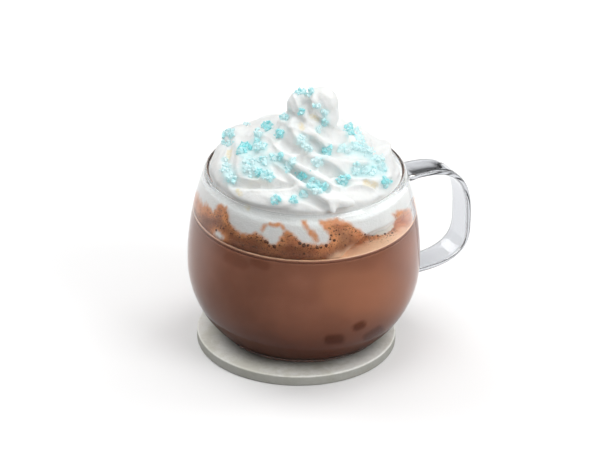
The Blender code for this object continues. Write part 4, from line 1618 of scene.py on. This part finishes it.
def scattered(name, sites, material, variants, chipped, values):
    """One of a few rough lumps on every site, at the site's size and turn."""
    piece = add_mesh(name, scatter_mesh(name, sites), material)
    graph = Graph(name + "_scatter", values)
    lumps = graph.node("GeometryNodeGeometryToInstance")
    for index in range(variants):
        lump = rough_lump(graph, index, chipped)
        graph.feed(lumps.socket.node.inputs[0], lump)
    size = graph.node("GeometryNodeInputNamedAttribute", {"data_type": "FLOAT"}, "grain_size")
    turn = graph.node("GeometryNodeInputNamedAttribute", {"data_type": "FLOAT_VECTOR"},
                      "grain_turn")
    pick = graph.node("FunctionNodeRandomValue", {"data_type": "INT"}, None, None, None, None,
                      0, variants - 1, output=2)
    stood = graph.node("GeometryNodeInstanceOnPoints", None, graph.given(), Instance=lumps,
                       Pick_Instance=True, Instance_Index=pick, Rotation=turn, Scale=size)
    return graph.remake(piece, stood)


def build_sugar():
    """Crystals where clusters are seen, and clumps on the far side."""
    sugar = settings().sugar
    tree = skin_tree(bpy.data.objects["cream"])
    draw = random.Random(sugar.seed)
    sites = cluster_sites(tree, draw, sugar.size) + strewn_sites(tree, draw, sugar.size)
    piece = scattered("sugar", sites, blue_sugar(sugar), CRYSTAL_LUMPS, True,
                      {"Detail": 1, "Roughness": 0.24, "Seed": sugar.seed})
    return finished(piece, "sugar_crystals")


# ---------------------------------------------------------------- bubbles

# Bubbles that stand out, as seen in the camera's pixels, with their width in mm.
BUBBLES = (
    (218, 230, 0.8), (222, 228, 0.6), (225, 228, 0.8), (219, 226, 0.5), (232, 233, 0.5),
    (241, 237, 0.6), (252, 237, 0.5), (258, 237, 0.6), (262, 240, 0.7), (266, 241, 1.2),
    (268, 242, 0.9), (244, 245, 0.7), (254, 246, 0.7), (257, 247, 0.6), (250, 243, 0.5),
    (270, 246, 0.7), (275, 246, 1.3), (280, 245, 0.7), (300, 243, 1.1), (304, 245, 1.3),
    (308, 245, 1.0), (311, 248, 0.6), (317, 247, 1.1), (321, 247, 0.8), (326, 245, 1.1),
    (304, 253, 0.8), (331, 235, 0.8), (330, 239, 0.7), (334, 240, 1.0), (336, 230, 0.6),
    (339, 234, 0.6), (343, 229, 0.4), (355, 231, 0.6), (364, 234, 0.7), (372, 236, 0.5),
    (377, 236, 0.7), (384, 234, 0.8), (391, 233, 0.7), (229, 222, 0.4), (227, 216, 0.4),
    (292, 246, 0.4), (346, 238, 0.4), (351, 235, 0.4),
)
BUBBLE_SWELL = 1.35                 # how much wider they are made, since the froth hides half
EDGE_LINE = MELT_LINE[7:-3]         # the stretch of the melt line with tiny bubbles along it
BUBBLES_ALONG = 2.2                 # tiny bubbles for a pixel of that stretch
FROTH_TOP_LIMIT = 74 * MM           # height above which no bubble stands
BUBBLES_BEHIND = 160


def bubble(draw, place, size):
    """A bubble of a width in mm."""
    return place, size * MM, any_turn(draw), 0.0


def edge_bubbles(tree, draw):
    """Tiny bubbles in the froth right below the cream's edge."""
    sites = []
    line = np.array(EDGE_LINE, float)
    for start, end in zip(line[:-1], line[1:]):
        length = float(np.linalg.norm(end - start))
        for _ in range(max(1, int(length * BUBBLES_ALONG))):
            spot = start + (end - start) * draw.random()
            beneath = abs(draw.gauss(0.0, 5.0)) + 0.8
            place, _ = pixel_hit(tree, spot[0] + draw.gauss(0.0, 1.5), spot[1] + beneath)
            if place is None or place.z > MUG_FOOT + FROTH_TOP_LIMIT:
                continue
            if brown_depth(np.array([place]))[0] > 0.5:
                sites.append(bubble(draw, place, draw.choice((0.22, 0.26, 0.3, 0.36, 0.45))))
    return sites


def far_bubbles(tree, draw):
    """Bubbles along the cream's foot on its far side."""
    sites = []
    wall = inner_radius(settings().drink.level) - 2 * MM
    above = MUG_FOOT + settings().drink.level + 3 * MM
    for _ in range(BUBBLES_BEHIND):
        turn = draw.uniform(0.05, 0.95) * math.pi
        foot = float(foot_radius(np.array([turn]))[0]) * MM
        distance = min(wall, foot + abs(draw.gauss(0.0, 1.6)) * MM + 0.4 * MM)
        start = Vector((distance * math.cos(turn + SIDE), distance * math.sin(turn + SIDE), above))
        place, _, _, _ = tree.ray_cast(start, DOWN)
        if place is not None:
            sites.append(bubble(draw, place, draw.choice((0.25, 0.3, 0.4, 0.55, 0.8))))
    return sites


def bubble_sites():
    """The bubbles that stand out, tiny ones along the cream's edge, and the far side's."""
    tree = skin_tree(bpy.data.objects["cream"], bpy.data.objects["froth_top"])
    draw = random.Random(settings().drink.bubbles)
    hits = [(pixel_hit(tree, pixel_x, pixel_y)[0], size) for pixel_x, pixel_y, size in BUBBLES]
    large = [bubble(draw, place, size * BUBBLE_SWELL)
             for place, size in hits if place is not None]
    return large + edge_bubbles(tree, draw) + far_bubbles(tree, draw)


def build_bubbles():
    """The bubbles, nearly round."""
    piece = scattered("foam_bubbles", bubble_sites(), bubble_skin(), BUBBLE_LUMPS, False,
                      {"Detail": 2, "Roughness": 0.04, "Seed": settings().drink.bubbles})
    return finished(piece, "froth")


# ---------------------------------------------------------------- coaster

EDGE_POINTS = 15


def build_coaster():
    """The slab under the mug."""
    coaster = settings().coaster
    low, high = COASTER_LOW, COASTER_HIGH
    centre = ((low.x + high.x) / 2, (low.y + high.y) / 2)
    radius = (high.x - low.x) / 2
    edge = coaster.edge
    profile = [(0.0, high.z), (radius * 0.4, high.z), (radius * 0.8, high.z)]
    for angle in np.linspace(90, -90, EDGE_POINTS):
        turn = math.radians(angle)
        middle = high.z - edge if angle > 0 else low.z + edge
        profile.append((radius - edge + edge * math.cos(turn), middle + edge * math.sin(turn)))
    profile += [(radius * 0.8, low.z), (radius * 0.4, low.z), (0.0, low.z)]
    piece = turned("stone_coaster", profile, ROUND_STEPS, pale_stone(coaster), centre)
    piece.data.set_sharp_from_angle(angle=math.radians(50))
    return finished(piece, "coaster", "coaster")


# ---------------------------------------------------------------- stage

# Softboxes: metres to the viewer's right, away from the viewer and up, and power.
SOFTBOXES = (
    ("left", -0.85, 0.65, 1.10, 5.8),
    ("right", 0.85, 0.60, 1.10, 4.6),
    ("top", 0.00, 0.15, 1.25, 3.4),
    ("front", 1.15, -0.80, 0.90, 9.3),
    ("front_left", -0.65, -0.55, 1.35, 2.2),
)
SOFTBOX_SIDE = 0.8                  # metres
LIGHTS_AIM = Vector((0.0, 0.0, 0.06))


def level_back():
    """The level direction from the mug toward the camera."""
    back = view_axes()[2]
    return Vector((back.x, back.y, 0.0)).normalized()


def softbox(name, place, power):
    """A square light that shines toward the mug."""
    light = bpy.data.lights.new(name, "AREA")
    light.shape = "SQUARE"
    light.size = SOFTBOX_SIDE
    light.energy = power
    lamp = bpy.data.objects.new(name, light)
    lamp.location = place
    lamp.rotation_euler = (LIGHTS_AIM - place).to_track_quat("-Z", "Y").to_euler()
    bpy.context.scene.collection.objects.link(lamp)


def build_camera():
    """The camera that the view's sizes describe."""
    right, up, back = view_axes()
    data = bpy.data.cameras.new("view")
    data.lens = LENS
    data.sensor_width = SENSOR
    data.clip_end = 50.0
    camera = bpy.data.objects.new("view", data)
    turn = Matrix((right, up, back)).transposed()
    camera.matrix_world = Matrix.Translation(view_eye()) @ turn.to_4x4()
    bpy.context.scene.collection.objects.link(camera)
    bpy.context.scene.camera = camera


def build_sky(stage):
    """Bright overhead, dark near the horizon, so that glass edges read."""
    world = bpy.data.worlds.new("studio")
    bpy.context.scene.world = world
    world.use_nodes = True
    sky = Nodes(world.node_tree)
    direction = sky.node("ShaderNodeTexCoord", output="Generated")
    toward = sky.node("ShaderNodeVectorMath", {"operation": "DOT_PRODUCT"}, direction,
                      level_back(), output="Value")
    horizon = sky.range(toward, -0.75, -0.45, stage.sky_back, stage.sky_low)
    strength = sky.range(sky.parts(direction)[2], 0.50, 0.78, horizon, stage.sky_top)
    background = sky.tree.nodes["Background"]
    sky.feed(background.inputs["Color"], (1.0, 1.0, 1.0))
    sky.feed(background.inputs["Strength"], strength)


def build_floor(stage):
    """A round floor under the coaster."""
    mesh = bpy.data.meshes.new("floor")
    shape = bmesh.new()
    bmesh.ops.create_circle(shape, cap_ends=True, segments=96, radius=stage.floor_radius)
    shape.to_mesh(mesh)
    shape.free()
    floor = add_mesh("floor", mesh, plain_floor(stage))


def build_stage():
    """Floor, lights, sky and camera."""
    stage = settings().stage
    build_floor(stage)
    right, behind = view_axes()[0], -level_back()
    for name, aside, beyond, height, power in SOFTBOXES:
        place = right * aside + behind * beyond + Vector((0.0, 0.0, height))
        softbox(name, place, power * stage.light)
    build_sky(stage)
    bpy.context.scene.view_settings.view_transform = "Standard"
    build_camera()


# ---------------------------------------------------------------- operators and panel

class COFFEE_OT_coaster(bpy.types.Operator):
    """Build the stone coaster"""
    bl_idname = "coffee.coaster"
    bl_label = "Coaster"
    bl_options = {"REGISTER", "UNDO"}

    def execute(self, context):
        build_coaster()
        return {"FINISHED"}


class COFFEE_OT_mug(bpy.types.Operator):
    """Build the glass mug with its handle"""
    bl_idname = "coffee.mug"
    bl_label = "Glass Mug"
    bl_options = {"REGISTER", "UNDO"}

    def execute(self, context):
        build_mug()
        return {"FINISHED"}


class COFFEE_OT_drink(bpy.types.Operator):
    """Fill the mug with the drink"""
    bl_idname = "coffee.drink"
    bl_label = "Drink"
    bl_options = {"REGISTER", "UNDO"}

    def execute(self, context):
        build_drink()
        return {"FINISHED"}


class COFFEE_OT_froth(bpy.types.Operator):
    """Lay the froth on the drink"""
    bl_idname = "coffee.froth"
    bl_label = "Froth"
    bl_options = {"REGISTER", "UNDO"}

    def execute(self, context):
        build_froth()
        return {"FINISHED"}


class COFFEE_OT_cream(bpy.types.Operator):
    """Pipe the whipped cream"""
    bl_idname = "coffee.cream"
    bl_label = "Whipped Cream"
    bl_options = {"REGISTER", "UNDO"}

    def execute(self, context):
        build_cream()
        return {"FINISHED"}


class COFFEE_OT_bubbles(bpy.types.Operator):
    """Scatter bubbles on the froth"""
    bl_idname = "coffee.bubbles"
    bl_label = "Bubbles"
    bl_options = {"REGISTER", "UNDO"}

    def execute(self, context):
        build_bubbles()
        return {"FINISHED"}


class COFFEE_OT_sugar(bpy.types.Operator):
    """Scatter the sugar crystals"""
    bl_idname = "coffee.sugar"
    bl_label = "Sugar"
    bl_options = {"REGISTER", "UNDO"}

    def execute(self, context):
        build_sugar()
        return {"FINISHED"}


class COFFEE_OT_stage(bpy.types.Operator):
    """Make the floor, the lights and the camera"""
    bl_idname = "coffee.stage"
    bl_label = "Stage"
    bl_options = {"REGISTER", "UNDO"}

    def execute(self, context):
        build_stage()
        return {"FINISHED"}


OPERATORS = (COFFEE_OT_coaster, COFFEE_OT_mug, COFFEE_OT_drink, COFFEE_OT_froth,
             COFFEE_OT_cream, COFFEE_OT_bubbles, COFFEE_OT_sugar, COFFEE_OT_stage)


class CoffeeSettings(bpy.types.PropertyGroup):
    """All sizes and colours of the drink, the mug and the stage."""
    mug: PointerProperty(type=MugSettings)
    drink: PointerProperty(type=DrinkSettings)
    cream: PointerProperty(type=CreamSettings)
    sugar: PointerProperty(type=SugarSettings)
    coaster: PointerProperty(type=CoasterSettings)
    stage: PointerProperty(type=StageSettings)


def settings():
    """The values that the panel shows."""
    return bpy.context.scene.coffee


class VIEW3D_PT_coffee(bpy.types.Panel):
    """Sizes, colours and builders of the glass of coffee."""
    bl_label = "Coffee in a Glass Mug"
    bl_space_type = "VIEW_3D"
    bl_region_type = "UI"
    bl_category = "Coffee"

    def draw(self, context):
        for group in ("mug", "drink", "cream", "sugar", "coaster", "stage"):
            box = self.layout.box()
            box.label(text=group.title())
            values = getattr(context.scene.coffee, group)
            for name in values.__annotations__:
                box.prop(values, name)
        for operator in OPERATORS:
            self.layout.operator(operator.bl_idname)


GROUPS = (MugSettings, DrinkSettings, CreamSettings, SugarSettings, CoasterSettings,
          StageSettings, CoffeeSettings)


def register():
    """Make the settings, the operators and the panel known."""
    for item in (*GROUPS, *OPERATORS, VIEW3D_PT_coffee):
        bpy.utils.register_class(item)
    bpy.types.Scene.coffee = PointerProperty(type=CoffeeSettings)


def unregister():
    """Take them away again, in reverse."""
    del bpy.types.Scene.coffee
    for item in reversed((*GROUPS, *OPERATORS, VIEW3D_PT_coffee)):
        bpy.utils.unregister_class(item)


def main():
    """Build every piece and the stage."""
    register()
    for operator in OPERATORS:
        group, name = operator.bl_idname.split(".")
        getattr(getattr(bpy.ops, group), name)()


if __name__ == "__main__":
    main()
